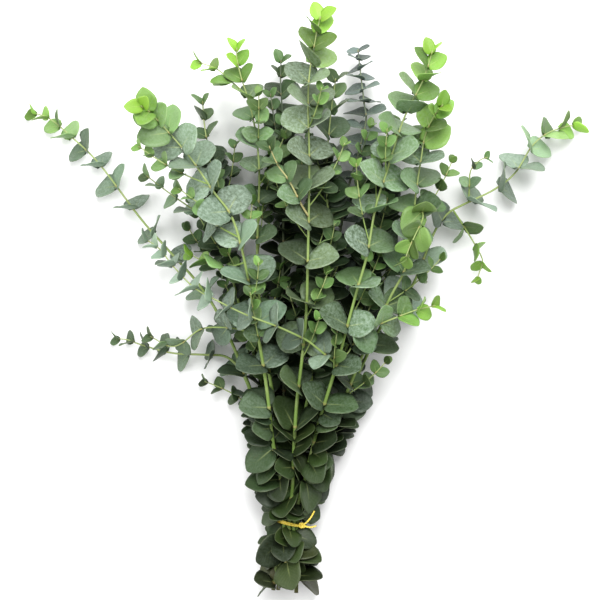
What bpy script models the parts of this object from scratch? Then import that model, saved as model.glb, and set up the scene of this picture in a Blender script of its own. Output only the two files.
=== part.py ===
"""A tied bunch of baby blue eucalyptus, laid on a table: thirteen leafy stems and their tie.

Metres, +Z up. The stems run along +Y from their cut ends to their tips, and the origin lies on the
table under the middle of the bunch. The rule that sets the leaves works in millimetres.
"""
import math
import random
from collections import namedtuple

import bpy
from mathutils import Vector
from mathutils.bvhtree import BVHTree

METRE = 0.001  # metres in a millimetre
UP = Vector((0, 0, 1))

# The tie squeezes ten stems into a ring round three others, and they spread from there both ways.
TIE_Y = -242.0
TIE_CENTRE = Vector((-17.0, TIE_Y, 32.0))
CUT_CENTRE = Vector((-22.0, -318.0, 29.0))
RING = 9.4  # stem axes of the outer ring at the tie, from its centre
CORE = 3.3  # and of the three inner stems
CUT_SPREAD = 1.45  # how much wider the stems stand at their cut ends
STEM_RADIUS = 2.6
TIP_RADIUS = 0.75
FORK_TIP_RADIUS = 0.65  # at the tip of a side shoot
THICK_REACH = 130.0  # a stem keeps its thickness this far from its cut end
STEM_SIDES = 4  # young eucalyptus stems are square
BEND = 0.5  # the most that a straight stretch of stem may lie off its curve

# The tie: three windings, their offsets along the bundle and their tilts, then a knot with two ends.
WIRE = 1.1  # radius of the cord
TIE_RADIUS = RING + STEM_RADIUS + 2.2  # of a winding's own middle line
WINDINGS = ((-1.4, -2.6), (0.2, -4.2), (1.5, -3.0))
WINDING_STEPS = 16
CORD_SIDES = 4
KNOT = [(-5.6, -248.2, 41.2), (-3.4, -245.8, 42.6), (-2.6, -242.8, 42.2), (-4.4, -240.4, 40.8)]
KNOT_RADIUS = 2.0
ENDS = ([(-4.0, -245.4, 42.2), (1.5, -241.6, 44.0), (7.0, -235.5, 43.0), (11.0, -228.5, 40.5)],
        [(-3.6, -243.0, 42.0), (1.8, -245.6, 42.6), (7.6, -246.6, 40.2), (13.0, -245.6, 36.5)])

# A leaf: its outline as (along, across), with the length and half the width as units.
ROOT = -0.1  # where a leaf begins inside its stem, in stem radii from the axis
NECK = 0.4  # half the width of a leaf where it leaves the stem, in stem radii
STAND_OFF = 1.12  # where its blade begins, in stem radii
BASE = (0.13, 0.80)
SHOULDER = (0.62, 0.93)
RIB = (0.13, 0.60)  # where the two points on the midrib lie
SMALL_RIB = 0.42  # where a small leaf's only one lies
LEAF_WIDTH = 1.04  # width of a full-grown leaf over its length
YOUNG_WIDTH = 0.80
LEAF_THICK = 0.9
CUP = 0.11  # how far the edges rise, over the width
DROOP = 0.10  # how far the tip bends back, over the length
SMALL_LEAF = 20.0  # shorter leaves have the plainest outline
MIDDLE_LEAF = 29.5  # and those up to here a plain one
MIDDLE_WIDEST = (0.36, 1.0)
CLEAR = 0.35  # kept free round every leaf
DEEPEST = -5.0  # a leaf may bend this much where it meets the table

# How the pairs of leaves follow each other down a shoot from its tip, each square to the last.
FIRST_PAIR = 3.0
TIP_GAP = 13.5
GAP_GROWTH = 0.135
WIDEST_GAP = 47.0
CUT_BARE = 8.0  # a stem bears no leaf this close to its cut end
FORK_BARE = 13.0  # nor does a side shoot to its stem
PAIR_TURN = 90.0
TURN_SPREAD = 9.0
TIP_LEAF = 0.54  # a leaf at the tip, over the shoot's largest
GROWN_AT = 85.0  # distance from the tip where the leaves are full size
LENGTH_SPREAD = (0.88, 1.06)
TIP_LIFT = 50.0
GROWN_LIFT = 24.0
LIFT_SPREAD = (-8.0, 10.0)
STEEPEST = 68.0
FACE_LIMIT = math.radians(85)  # the most that a blade twists to face the sky
FACE_SPREAD = (0.4, 1.25)

# In the bundle the stems stand so close that their leaves all point outward.
BUNDLE_TOP = -158.0
BUNDLE_GAP = 36.0
BUNDLE_LEAF = 0.98  # length of its leaves, over their size elsewhere
BUNDLE_FAN = (32.0, 82.0)  # how far each of a pair turns from straight outward
BUNDLE_LIFT = (-64.0, 16.0)  # most droop towards the cut ends
BUNDLE_ROLL = (-48.0, 48.0)  # and turn about their own midrib
PAST_CUT = -333.0  # and reach no further than this

# No leaf crosses the space in front of the tie, from one corner to the other.
SIGHT = ((-31.0, -246.5, 44.0), (2.0, -238.0, 120.0))

# Nor does one cross the space over these stretches of the front stems, from one y to another.
BARE = {"stem_centre": (-212.0, -96.0), "stem_left": (-172.0, -90.0), "stem_right": (-168.0, -96.0)}
BARE_SPACE = (3.6, 75.0)  # heights of that space over a stem's axis

# A leaf that would touch another is turned, lifted or made smaller, in this order.
TURNS = (0, 16, -16, 34, -34, 54, -54, 78, -78, 104, -104)
LIFTS = (0, 14, -14, 28)
SHRINKS = (1.0, 0.84, 0.68)
NEARBY = 0.75  # a leaf's reach from its middle, over its length
SEARCH = 1.2  # how far round a foot its neighbours are looked for, over the leaf's length
LEAF_ROUGHNESS = 0.6
TIE_ROUGHNESS = 0.45

Shoot = namedtuple("Shoot", "node radius leaf turn face spacing route lift", defaults=(1.0,))
Stem = namedtuple("Stem", "ring angle cut colour")
Leaf = namedtuple("Leaf", "root foot along across normal length width radius")

# Each stem's place in the tied ring, its cut end, and the colour of its leaves.
STEMS = {
    "stem_centre": Stem(RING, 92, -312, (0.16, 0.24, 0.10)),
    "stem_left": Stem(RING, 128, -306, (0.20, 0.29, 0.16)),
    "stem_right": Stem(RING, 56, -317, (0.13, 0.21, 0.10)),
    "stem_tall": Stem(RING, 20, -321, (0.18, 0.26, 0.12)),
    "stem_upper_left": Stem(CORE, 128, -300, (0.18, 0.30, 0.10)),
    "stem_middle": Stem(CORE, 8, -304, (0.12, 0.18, 0.10)),
    "stem_far_left": Stem(RING, 164, -318, (0.15, 0.24, 0.17)),
    "stem_far_right": Stem(RING, -16, -309, (0.18, 0.25, 0.18)),
    "stem_lower_left": Stem(RING, 200, -313, (0.15, 0.23, 0.15)),
    "stem_blue": Stem(RING, -52, -318, (0.10, 0.16, 0.15)),
    "stem_dark": Stem(RING, -88, -308, (0.10, 0.16, 0.11)),
    "stem_thin": Stem(RING, 236, -320, (0.11, 0.19, 0.10)),
    "stem_rear": Stem(CORE, -112, -310, (0.09, 0.14, 0.09)),
}
TIE_COLOUR = (0.78, 0.62, 0.05)

# Every shoot from where it leaves the bundle or its stem to its tip, the ones nearest the top first.
SHOOTS = [
    Shoot("stem_centre", 2.3, 37, 35, 0.8, 1.0, [
        (-14, -206, 46), (-9, -111, 66), (1, -20, 84), (4, 74, 104), (5, 156, 122),
        (4, 235, 138), (11, 284, 146), (17, 310, 151)]),
    Shoot("stem_centre", 1.5, 29, 50, 0.9, 1.25, [
        (4, 99, 109), (-4, 112, 116), (-17, 137, 126), (-29, 153, 133), (-38, 173, 139)]),
    Shoot("stem_left", 2.2, 37, 50, 0.85, 1.05, [
        (-25, -199, 44), (-34, -158, 54), (-42, -88, 72), (-50, -37, 86), (-64, 44, 104),
        (-78, 96, 114), (-99, 126, 120), (-123, 161, 128), (-148, 190, 140), (-163, 206, 158),
        (-172, 212, 176)]),
    Shoot("stem_left", 1.3, 28, 35, 0.8, 1.3, [
        (-73, 75, 110), (-88, 85, 98), (-104, 95, 92), (-138, 118, 86), (-160, 134, 84),
        (-174, 145, 84)]),
    Shoot("stem_left", 1.2, 27, 50, 0.8, 1.3, [
        (-67, 49, 105), (-79, 45, 90), (-95, 45, 78), (-114, 52, 70), (-127, 59, 68)]),
    Shoot("stem_left", 1.3, 25, 40, 0.7, 1.3, [
        (-50, -37, 86), (-68, -25, 84), (-97, -22, 82), (-116, -25, 78), (-136, -40, 72),
        (-150, -43, 68), (-171, -32, 66)]),
    Shoot("stem_right", 2.2, 36, 55, 0.8, 1.0, [
        (5, -174, 48), (16, -128, 60), (36, -61, 82), (46, -23, 92), (57, 18, 100), (68, 58, 106),
        (77, 109, 112), (89, 147, 116), (106, 201, 122), (127, 244, 130), (137, 275, 136)]),
    Shoot("stem_right", 1.5, 25, 45, 0.25, 0.85, [
        (36, -62, 82), (13, -44, 98), (1, -35, 104), (-29, -21, 112), (-63, -8, 116),
        (-92, 6, 116), (-119, 21, 114), (-141, 43, 112), (-158, 64, 110), (-173, 74, 108)]),
    Shoot("stem_right", 1.4, 28, 45, 0.8, 1.2, [
        (46, -27, 92), (73, -21, 98), (92, -14, 102), (121, -3, 106), (142, 2, 109)]),
    Shoot("stem_right", 1.2, 26, 60, 0.7, 1.3, [
        (36, -62, 82), (50, -47, 76), (63, -20, 72), (76, 9, 70), (78, 21, 70)]),
    Shoot("stem_tall", 2.4, 34, 40, 0.8, 1.05, [
        (3, -198, 38), (22, -152, 45), (46, -98, 54), (64, -54, 62), (95, 12, 76),
        (110, 41, 82), (119, 82, 90), (121, 120, 96), (127, 163, 102), (131, 187, 108),
        (140, 207, 122), (148, 217, 136)]),
    Shoot("stem_tall", 1.3, 32, 50, 0.9, 1.2, [
        (121, 112, 95), (127, 106, 106), (128, 97, 116), (122, 84, 123), (113, 65, 125),
        (108, 51, 123)]),
    Shoot("stem_upper_left", 1.9, 29, 45, 0.85, 1.1, [
        (-24, -157, 40), (-35, -101, 46), (-45, -33, 52), (-52, 33, 58), (-52, 89, 64),
        (-50, 144, 72), (-53, 187, 78), (-60, 222, 84), (-68, 247, 88), (-74, 271, 92),
        (-74, 284, 94)]),
    Shoot("stem_upper_left", 1.1, 26, 35, 0.8, 1.3, [
        (-64, 233, 86), (-77, 245, 84), (-95, 261, 82), (-109, 267, 80), (-117, 270, 80)]),
    Shoot("stem_middle", 1.9, 33, 40, 0.7, 1.2, [
        (-8, -157, 42), (6, -90, 52), (18, 0, 62), (26, 80, 72), (24, 150, 82), (28, 205, 90),
        (34, 250, 96)]),
    Shoot("stem_far_left", 1.9, 28, 40, 0.6, 1.05, [
        (-28, -191, 34), (-46, -135, 32), (-66, -79, 30), (-91, -20, 28), (-117, 23, 27),
        (-156, 67, 25), (-185, 100, 24), (-232, 162, 22), (-264, 193, 20), (-288, 213, 18),
        (-307, 220, 18)]),
    Shoot("stem_far_right", 1.9, 34, 50, 0.8, 1.2, [
        (1, -206, 28), (19, -164, 26), (41, -118, 25), (64, -68, 25), (89, -17, 26),
        (108, 8, 28), (124, 29, 30), (146, 84, 32), (161, 105, 34), (178, 115, 35),
        (213, 132, 34), (237, 151, 32), (256, 181, 30), (274, 196, 28), (296, 204, 24),
        (307, 205, 22)]),
    Shoot("stem_far_right", 1.1, 19, 35, 0.7, 1.3, [
        (183, 119, 35), (185, 137, 40), (186, 153, 44), (197, 165, 46), (205, 167, 47)]),
    Shoot("stem_far_right", 1.2, 22, 55, 0.7, 1.3, [
        (167, 109, 34), (181, 88, 32), (193, 69, 28), (201, 53, 25), (198, 40, 22),
        (195, 31, 20)]),
    Shoot("stem_lower_left", 1.7, 25, 40, 0.6, 1.15, [
        (-28, -209, 26), (-40, -164, 22), (-53, -122, 20), (-68, -79, 19), (-87, -57, 19),
        (-114, -54, 18), (-150, -52, 17), (-184, -43, 16), (-201, -37, 15), (-213, -36, 14)]),
    Shoot("stem_lower_left", 1.1, 21, 50, 0.8, 1.3, [
        (-53, -122, 20), (-72, -104, 20), (-91, -93, 19), (-113, -84, 18)]),
    Shoot("stem_blue", 1.9, 29, 45, 0.45, 0.68, [
        (-6, -203, 22), (2, -147, 20), (13, -79, 20), (24, -7, 22), (40, 83, 26), (48, 129, 30),
        (60, 171, 34), (69, 209, 36), (67, 229, 37), (62, 271, 36), (60, 290, 36)], 0.3),
    Shoot("stem_blue", 1.2, 26, 50, 0.8, 1.4, [
        (40, 88, 27), (26, 112, 40), (20, 145, 52), (24, 165, 56)]),
    Shoot("stem_dark", 1.8, 30, 45, 0.8, 1.25, [
        (-13, -204, 21), (-19, -147, 18), (-24, -79, 17), (-25, 6, 17), (-24, 84, 18),
        (-24, 170, 20), (-25, 218, 24), (-27, 256, 32), (-26, 278, 42)]),
    Shoot("stem_thin", 1.6, 28, 40, 0.8, 1.25, [
        (-21, -203, 24), (-33, -147, 20), (-50, -79, 18), (-70, -11, 17), (-87, 57, 17),
        (-99, 119, 18), (-108, 175, 20), (-113, 206, 22), (-115, 233, 24)]),
    Shoot("stem_rear", 1.8, 33, 50, 0.8, 1.3, [
        (-2, -160, 28), (22, -100, 20), (50, -40, 18), (72, 30, 18), (84, 100, 20),
        (96, 160, 24), (104, 205, 30)]),
]


def bundle_point(stem, y):
    """Where a stem's axis crosses the plane at y, between its cut end and the tie."""
    t = (y - TIE_Y) / (CUT_CENTRE.y - TIE_Y)
    centre = TIE_CENTRE.lerp(CUT_CENTRE, t)
    reach = stem.ring * (1 + (CUT_SPREAD - 1) * t)
    angle = math.radians(stem.angle)
    return Vector((centre.x + reach * math.cos(angle), y, centre.z + reach * math.sin(angle)))


def smooth(points, step=2.0):
    """A Catmull-Rom curve through the points, sampled about every step."""
    ends = [2 * points[0] - points[1]] + points + [2 * points[-1] - points[-2]]
    dense = []
    for a, b, c, d in zip(ends, ends[1:], ends[2:], ends[3:]):
        count = max(2, round((c - b).length / step))
        for i in range(count):
            t = i / count
            square = (2 * a - 5 * b + 4 * c - d) * t * t
            cube = (3 * b - a - 3 * c + d) * t ** 3
            dense.append(0.5 * (2 * b + (c - a) * t + square + cube))
    dense.append(points[-1])
    return dense


class Course:
    """A line through points, read by the distance along it."""

    def __init__(self, points, reach=None):
        self.points = points
        self.reach = reach or [0.0]
        if not reach:
            for a, b in zip(points, points[1:]):
                self.reach.append(self.reach[-1] + (b - a).length)
        self.length = self.reach[-1]

    def at(self, s):
        """The point and the direction at the distance s from the base."""
        i = 1
        while i < len(self.reach) - 1 and self.reach[i] < s:
            i += 1
        a, b = self.points[i - 1], self.points[i]
        t = (s - self.reach[i - 1]) / (self.reach[i] - self.reach[i - 1])
        return a.lerp(b, t), (b - a).normalized()

    def nearest(self, point):
        return min(self.points, key=lambda p: (p - point).length)


def stations(course, main, spacing):
    """Distances from the tip at which a shoot bears its pairs of leaves."""
    stop = course.length - (CUT_BARE if main else FORK_BARE)
    s = FIRST_PAIR
    found = []
    while s < stop:
        found.append(s)
        gap = min(TIP_GAP + GAP_GROWTH * s, WIDEST_GAP) * spacing
        if main and course.at(course.length - s)[0].y < BUNDLE_TOP:
            gap = BUNDLE_GAP
        s += gap
    return found


def across_frame(direction):
    """Two unit vectors square to a shoot: one level, to its right, and one above it."""
    side = direction.cross(UP).normalized()
    return side, side.cross(direction)


def leaf_at(foot, direction, azimuth, lift, face, roll, length, width, radius):
    """A leaf's own axes: it stands out at an azimuth, lifted to the tip, and turns to the light."""
    side, above = across_frame(direction)
    outward = math.cos(azimuth) * side + math.sin(azimuth) * above
    along = math.cos(lift) * outward + math.sin(lift) * direction
    normal = math.cos(lift) * direction - math.sin(lift) * outward
    across = along.cross(normal)
    wanted = math.atan2(across.z, normal.z)
    wanted = max(-FACE_LIMIT, min(FACE_LIMIT, wanted))
    twist = roll + face * math.sqrt(abs(math.cos(azimuth))) * wanted
    normal, across = (math.cos(twist) * normal + math.sin(twist) * across,
                      math.cos(twist) * across - math.sin(twist) * normal)
    start = foot + outward * (STAND_OFF * radius)
    root = start - along * ((STAND_OFF - ROOT) * radius / math.cos(lift))
    return Leaf(root, start, along, across, normal, length, width, radius)


def on_blade(leaf, u, v, offset=0.0):
    """A point of the blade: u along and v across it, offset from its middle surface."""
    rise = CUP * leaf.width * v * v - DROOP * leaf.length * u * u + offset
    return (leaf.foot + leaf.along * (u * leaf.length) + leaf.across * (v * leaf.width / 2)
            + leaf.normal * rise)


def skyward(leaf):
    """The blade's normal on the side that faces up."""
    return leaf.normal if leaf.normal.z >= 0 else -leaf.normal


def on_table(leaf, point, height=0.0):
    """The point, or where it comes to lie when the leaf bends flat along the table."""
    if point.z >= height:
        return point
    up = skyward(leaf)
    slip = (height - point.z) / (1 + up.z)
    return Vector((point.x + up.x * slip, point.y + up.y * slip, height))


def outline(leaf):
    """The rim of a leaf from beside its root, round the tip and back."""
    neck = (0.0, 2 * NECK * leaf.radius / leaf.width)
    half = [neck, BASE, SHOULDER]
    if leaf.length < SMALL_LEAF:
        half = [MIDDLE_WIDEST]
    elif leaf.length < MIDDLE_LEAF:
        half = [neck, MIDDLE_WIDEST]
    return [(u, -v) for u, v in half] + [(1.0, 0.0)] + [(u, v) for u, v in reversed(half)]


def faces_of(leaf):
    """One face of the blade, as triangles over the root, the rim and the midrib."""
    if leaf.length < SMALL_LEAF:
        return [(1, 0, 4), (2, 1, 4), (3, 2, 4), (0, 3, 4)]
    if leaf.length < MIDDLE_LEAF:
        return [(1, 0, 6), (2, 1, 6), (7, 2, 6), (3, 2, 7), (4, 3, 7), (6, 4, 7), (5, 4, 6),
                (0, 5, 6)]
    return [(1, 0, 8), (2, 1, 8), (3, 2, 8), (9, 3, 8), (4, 3, 9), (5, 4, 9), (8, 5, 9),
            (6, 5, 8), (7, 6, 8), (0, 7, 8)]


def ribs_of(leaf):
    if leaf.length < SMALL_LEAF:
        return [(SMALL_RIB, 0.0)]
    return [(RIB[0], 0.0), (RIB[1], 0.0)]


def blade(leaf):
    """Points and triangles of a closed blade, thick at the midrib and sharp at the rim."""
    rim = outline(leaf)
    ribs = ribs_of(leaf)
    half = LEAF_THICK / 2
    points = [leaf.root] + [on_table(leaf, on_blade(leaf, u, v)) for u, v in rim]
    middles = [on_table(leaf, on_blade(leaf, u, v), half) for u, v in ribs]
    offsets = [half * (UP if p.z == half else skyward(leaf)) for p in middles]
    if leaf.normal.z < 0:
        offsets = [-offset for offset in offsets]
    points += [p + offset for p, offset in zip(middles, offsets)]
    points += [p - offset for p, offset in zip(middles, offsets)]
    shift = len(ribs)
    first = 1 + len(rim)
    over = faces_of(leaf)
    under = [tuple(i + shift if i >= first else i for i in reversed(f)) for f in over]
    return points, over + under


def guard(leaf):
    """A slab round the free part of the blade, which must be clear of all that is placed."""
    grow = 1 + 2 * CLEAR / leaf.length
    thick = LEAF_THICK / 2 + CLEAR
    rim = [(-leaf.radius / leaf.length, 0.0)] + outline(leaf)
    flat = [(u * grow, v * grow) for u, v in rim + ribs_of(leaf)]
    points = [on_blade(leaf, u, v, thick) for u, v in flat]
    points += [on_blade(leaf, u, v, -thick) for u, v in flat]
    count = len(flat)
    top = faces_of(leaf)
    faces = top + [tuple(i + count for i in reversed(f)) for f in top]
    edge = len(rim)
    for i in range(edge):
        j = (i + 1) % edge
        faces.append((j, i, i + count, j + count))
    return points, faces


def tube(course, radii, stops, turn):
    """Points and faces of a shoot, square in section, its flats facing its pairs of leaves."""
    points = []
    faces = []
    for s, radius in zip(stops, radii):
        centre, direction = course.at(s)
        side, above = across_frame(direction)
        for k in range(STEM_SIDES):
            angle = turn + 2 * math.pi * (k + 0.5) / STEM_SIDES
            points.append(centre + radius * (math.cos(angle) * side + math.sin(angle) * above))
    for i in range(len(stops) - 1):
        for k in range(STEM_SIDES):
            a = i * STEM_SIDES + k
            b = i * STEM_SIDES + (k + 1) % STEM_SIDES
            faces.append((b, a, a + STEM_SIDES, b + STEM_SIDES))
    last = (len(stops) - 1) * STEM_SIDES
    faces.append(tuple(range(STEM_SIDES)))
    faces.append(tuple(reversed(range(last, last + STEM_SIDES))))
    return points, faces


def shoot_courses():
    """Every shoot with its curve: a stem starts at its cut end, a side shoot on its stem."""
    stems = {}
    found = []
    for shoot in SHOOTS:
        route = [Vector(p) for p in shoot.route]
        main = shoot.node not in stems
        if main:
            stem = STEMS[shoot.node]
            low = [bundle_point(stem, stem.cut), bundle_point(stem, (stem.cut + TIE_Y) / 2),
                   bundle_point(stem, TIE_Y)]
            course = Course(smooth(low + route))
            stems[shoot.node] = course
        else:
            route[0] = stems[shoot.node].nearest(route[0])
            course = Course(smooth(route))
        found.append((shoot, course, main))
    return found


def radius_at(shoot, main, course, s):
    """A shoot thins evenly from its base, or from the tie, to its tip."""
    if main:
        t = max(0.0, (s - THICK_REACH) / (course.length - THICK_REACH))
        return STEM_RADIUS + (TIP_RADIUS - STEM_RADIUS) * t
    return shoot.radius + (FORK_TIP_RADIUS - shoot.radius) * s / course.length


def sag(course, a, b):
    """How far the curve strays from the chord between two places on it."""
    start, end = course.at(a)[0], course.at(b)[0]
    most = 0.0
    for i in range(1, 6):
        point = course.at(a + (b - a) * i / 6)[0]
        most = max(most, (point - start.lerp(end, i / 6)).length)
    return most


def tube_stops(course, main, marks):
    """Ring places between the pairs of leaves, as few as keep each stretch near its curve."""
    marks = sorted(marks)
    places = []
    for a, b in zip([0.0] + marks, marks + [course.length]):
        places += [a + (b - a) / 3, b - (b - a) / 3]
    places.append(course.length)
    stops = [0.0]
    for here, after in zip(places, places[1:] + [None]):
        if after is None or sag(course, stops[-1], after) > BEND:
            stops.append(here)
    if main:
        stops.append(TIE_Y - course.points[0].y)
    return sorted(stops)


def straightened(course, stops):
    """The same shoot as straight stretches between its rings, which the leaves stand on."""
    return Course([course.at(s)[0] for s in stops], stops)


def grow(shoots, blocked):
    """Set every leaf where it is clear: turned, lifted or smaller where it would touch."""
    leaves = {node: [] for node in STEMS}
    placed = []
    for number, (shoot, course, main) in enumerate(shoots):
        draw = random.Random(100 + number)
        for pair, s in enumerate(stations(course, main, shoot.spacing)):
            foot, direction = course.at(course.length - s)
            radius = radius_at(shoot, main, course, course.length - s)
            age = min(1.0, s / GROWN_AT)
            grown = TIP_LEAF + (1 - TIP_LEAF) * math.sin(age * math.pi / 2)
            lift = shoot.lift * (TIP_LIFT + (GROWN_LIFT - TIP_LIFT) * age)
            turn = shoot.turn + PAIR_TURN * pair + draw.uniform(-TURN_SPREAD, TURN_SPREAD)
            low = main and foot.y < BUNDLE_TOP
            for side in (0, 1):
                azimuth = math.radians(turn) + math.pi * side
                pitch = lift + draw.uniform(*LIFT_SPREAD)
                roll = 0.0
                length = shoot.leaf * grown * draw.uniform(*LENGTH_SPREAD)
                if low:
                    centre = TIE_CENTRE + Vector((0, foot.y - TIE_Y, 0))
                    out = foot - centre
                    right, above = across_frame(direction)
                    azimuth = math.atan2(out.dot(above), out.dot(right))
                    azimuth += math.radians(draw.uniform(*BUNDLE_FAN) * (1 - 2 * side))
                    pitch = draw.uniform(*BUNDLE_LIFT)
                    roll = math.radians(draw.uniform(*BUNDLE_ROLL))
                    length *= BUNDLE_LEAF
                wide = YOUNG_WIDTH + (LEAF_WIDTH - YOUNG_WIDTH) * age
                face = shoot.face * draw.uniform(*FACE_SPREAD)
                leaf = clear_leaf(number, blocked, placed, foot, direction, azimuth, pitch,
                                  face, roll, length, wide, radius)
                if leaf:
                    leaves[shoot.node].append((leaf, side))
                    placed.append(solid_of(leaf))
    return leaves


def solid_of(leaf):
    """A placed leaf as the rule looks it up: its middle, its reach and its faces."""
    points, faces = blade(leaf)
    middle = leaf.foot + leaf.along * (leaf.length / 2)
    return middle, leaf.length * NEARBY, BVHTree.FromPolygons(points, faces)


def clear_leaf(number, blocked, placed, foot, direction, azimuth, pitch, face, roll, length,
               wide, radius):
    """The first of the leaf's poses that touches nothing but its own shoot, or None."""
    for shrink in SHRINKS:
        size = length * shrink
        near = [tree for middle, reach, tree in placed
                if (middle - foot).length < reach + size * SEARCH]
        near += [tree for key, tree in blocked.items() if key != number]
        for lift in LIFTS:
            for turn in TURNS:
                leaf = leaf_at(foot, direction, azimuth + math.radians(turn),
                               math.radians(min(pitch + lift, STEEPEST)), face, roll, size,
                               size * wide, radius)
                points, faces = guard(leaf)
                if min(p.z for p in points) < DEEPEST or min(p.y for p in points) < PAST_CUT:
                    continue
                tree = BVHTree.FromPolygons(points, faces)
                if not any(tree.overlap(other) for other in near):
                    return leaf
    return None


def box(low, high):
    """An upright box between two corners."""
    points = [Vector((x, y, z)) for x in (low[0], high[0]) for y in (low[1], high[1])
              for z in (low[2], high[2])]
    return points, [(0, 1, 3, 2), (4, 6, 7, 5), (0, 4, 5, 1), (2, 3, 7, 6), (0, 2, 6, 4), (1, 5, 7, 3)]


def ribbon(course, low, high):
    """An upright ribbon over a stretch of a stem."""
    stretch = [course.at(s)[0] for s in range(int(course.length))]
    stretch = [p for p in stretch if low < p.y < high]
    points = [p + UP * height for p in stretch for height in BARE_SPACE]
    return points, [(i, i + 1, i + 3, i + 2) for i in range(0, len(points) - 2, 2)]


def new_object(name, points, faces, material=None):
    """An object at the origin whose mesh holds the points, given in millimetres."""
    mesh = bpy.data.meshes.new(name)
    mesh.from_pydata([p * METRE for p in points], [], faces)
    if material:
        mesh.materials.append(material)
    obj = bpy.data.objects.new(name, mesh)
    bpy.context.scene.collection.objects.link(obj)
    return obj


def new_material(name, colour, roughness):
    material = bpy.data.materials.new(name)
    material.use_nodes = True
    shader = material.node_tree.nodes["Principled BSDF"]
    shader.inputs["Base Color"].default_value = (*colour, 1.0)
    shader.inputs["Roughness"].default_value = roughness
    shader.inputs["Metallic"].default_value = 0.0
    return material


def united(body, tools):
    """The body with the tools joined to it in one Boolean union, and the tools removed."""
    group = bpy.data.collections.new(body.name + "_tools")
    bpy.context.scene.collection.children.link(group)
    for tool in tools:
        bpy.context.scene.collection.objects.unlink(tool)
        group.objects.link(tool)
    union = body.modifiers.new("union", "BOOLEAN")
    union.operation = "UNION"
    union.operand_type = "COLLECTION"
    union.collection = group
    depsgraph = bpy.context.evaluated_depsgraph_get()
    joined = bpy.data.meshes.new_from_object(body.evaluated_get(depsgraph))
    body.modifiers.clear()
    body.data = joined
    joined.name = body.name
    for tool in tools:
        bpy.data.objects.remove(tool)
    bpy.data.collections.remove(group)


def merged(solids):
    """Several closed solids as one list of points and one of faces."""
    points = []
    faces = []
    for some_points, some_faces in solids:
        start = len(points)
        points += some_points
        faces += [tuple(i + start for i in face) for face in some_faces]
    return points, faces


def winding(offset, tilt):
    """One turn of the cord round the stems, tilted a little so that it crosses its neighbours."""
    points = []
    faces = []
    for i in range(WINDING_STEPS):
        angle = 2 * math.pi * i / WINDING_STEPS
        out = Vector((math.cos(angle), 0, math.sin(angle)))
        middle = TIE_CENTRE + TIE_RADIUS * out + Vector((0, offset + tilt * math.cos(angle), 0))
        for k in range(CORD_SIDES):
            turn = 2 * math.pi * k / CORD_SIDES
            points.append(middle + WIRE * (math.cos(turn) * out + math.sin(turn) * Vector((0, 1, 0))))
    for i in range(WINDING_STEPS):
        for k in range(CORD_SIDES):
            a = i * CORD_SIDES + k
            b = i * CORD_SIDES + (k + 1) % CORD_SIDES
            c = (i + 1) % WINDING_STEPS * CORD_SIDES
            faces.append((a, b, c + (k + 1) % CORD_SIDES, c + k))
    return points, faces


def cord(route, radius):
    """A short length of the tie's cord through the points."""
    course = Course([Vector(p) for p in route])
    stops = course.reach
    return tube(course, [radius] * len(stops), stops, 0.0)


def main():
    for obj in list(bpy.data.objects):
        bpy.data.objects.remove(obj, do_unlink=True)
    shoots = shoot_courses()
    tubes = {}
    blocked = {}
    for number, (shoot, course, is_main) in enumerate(shoots):
        marks = [course.length - s for s in stations(course, is_main, shoot.spacing)]
        stops = tube_stops(course, is_main, marks)
        radii = [radius_at(shoot, is_main, course, s) for s in stops]
        tubes[number] = tube(course, radii, stops, math.radians(shoot.turn))
        blocked[number] = BVHTree.FromPolygons(*tubes[number])
        shoots[number] = (shoot, straightened(course, stops), is_main)
        if is_main and shoot.node in BARE:
            over = ribbon(course, *BARE[shoot.node])
            blocked["over", number] = BVHTree.FromPolygons(*over)

    cords = [winding(offset, tilt) for offset, tilt in WINDINGS]
    cords += [cord(KNOT, KNOT_RADIUS)] + [cord(route, WIRE) for route in ENDS]
    for i, solid in enumerate(cords):
        blocked["cord", i] = BVHTree.FromPolygons(*solid)
    blocked["sight"] = BVHTree.FromPolygons(*box(*SIGHT))

    leaves = grow(shoots, blocked)
    for node, stem in STEMS.items():
        numbers = [n for n, (shoot, course, is_main) in enumerate(shoots) if shoot.node == node]
        material = new_material(node, stem.colour, LEAF_ROUGHNESS)
        body = new_object(node, *tubes[numbers[0]], material)
        tools = [new_object("shoot", *tubes[n]) for n in numbers[1:]]
        for side in (0, 1):
            blades = [blade(leaf) for leaf, which in leaves[node] if which == side]
            tools.append(new_object("leaves", *merged(blades)))
        united(body, tools)
    tie = new_object("tie", *cords[0], new_material("tie", TIE_COLOUR, TIE_ROUGHNESS))
    united(tie, [new_object("cord", *solid) for solid in cords[1:]])
    tie.data.shade_smooth()


main()
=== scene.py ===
"""The looks of a tied bunch of baby blue eucalyptus that lies on a white table.

Metres, +Z up, with the tips towards +Y. The shoots and their leaves follow the same
rule as the solids that they replace, in millimetres, and are made a thousandth of that size.
"""
import math
import random
from collections import namedtuple

import bmesh
import bpy
from mathutils import Matrix, Vector
from mathutils.bvhtree import BVHTree


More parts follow.
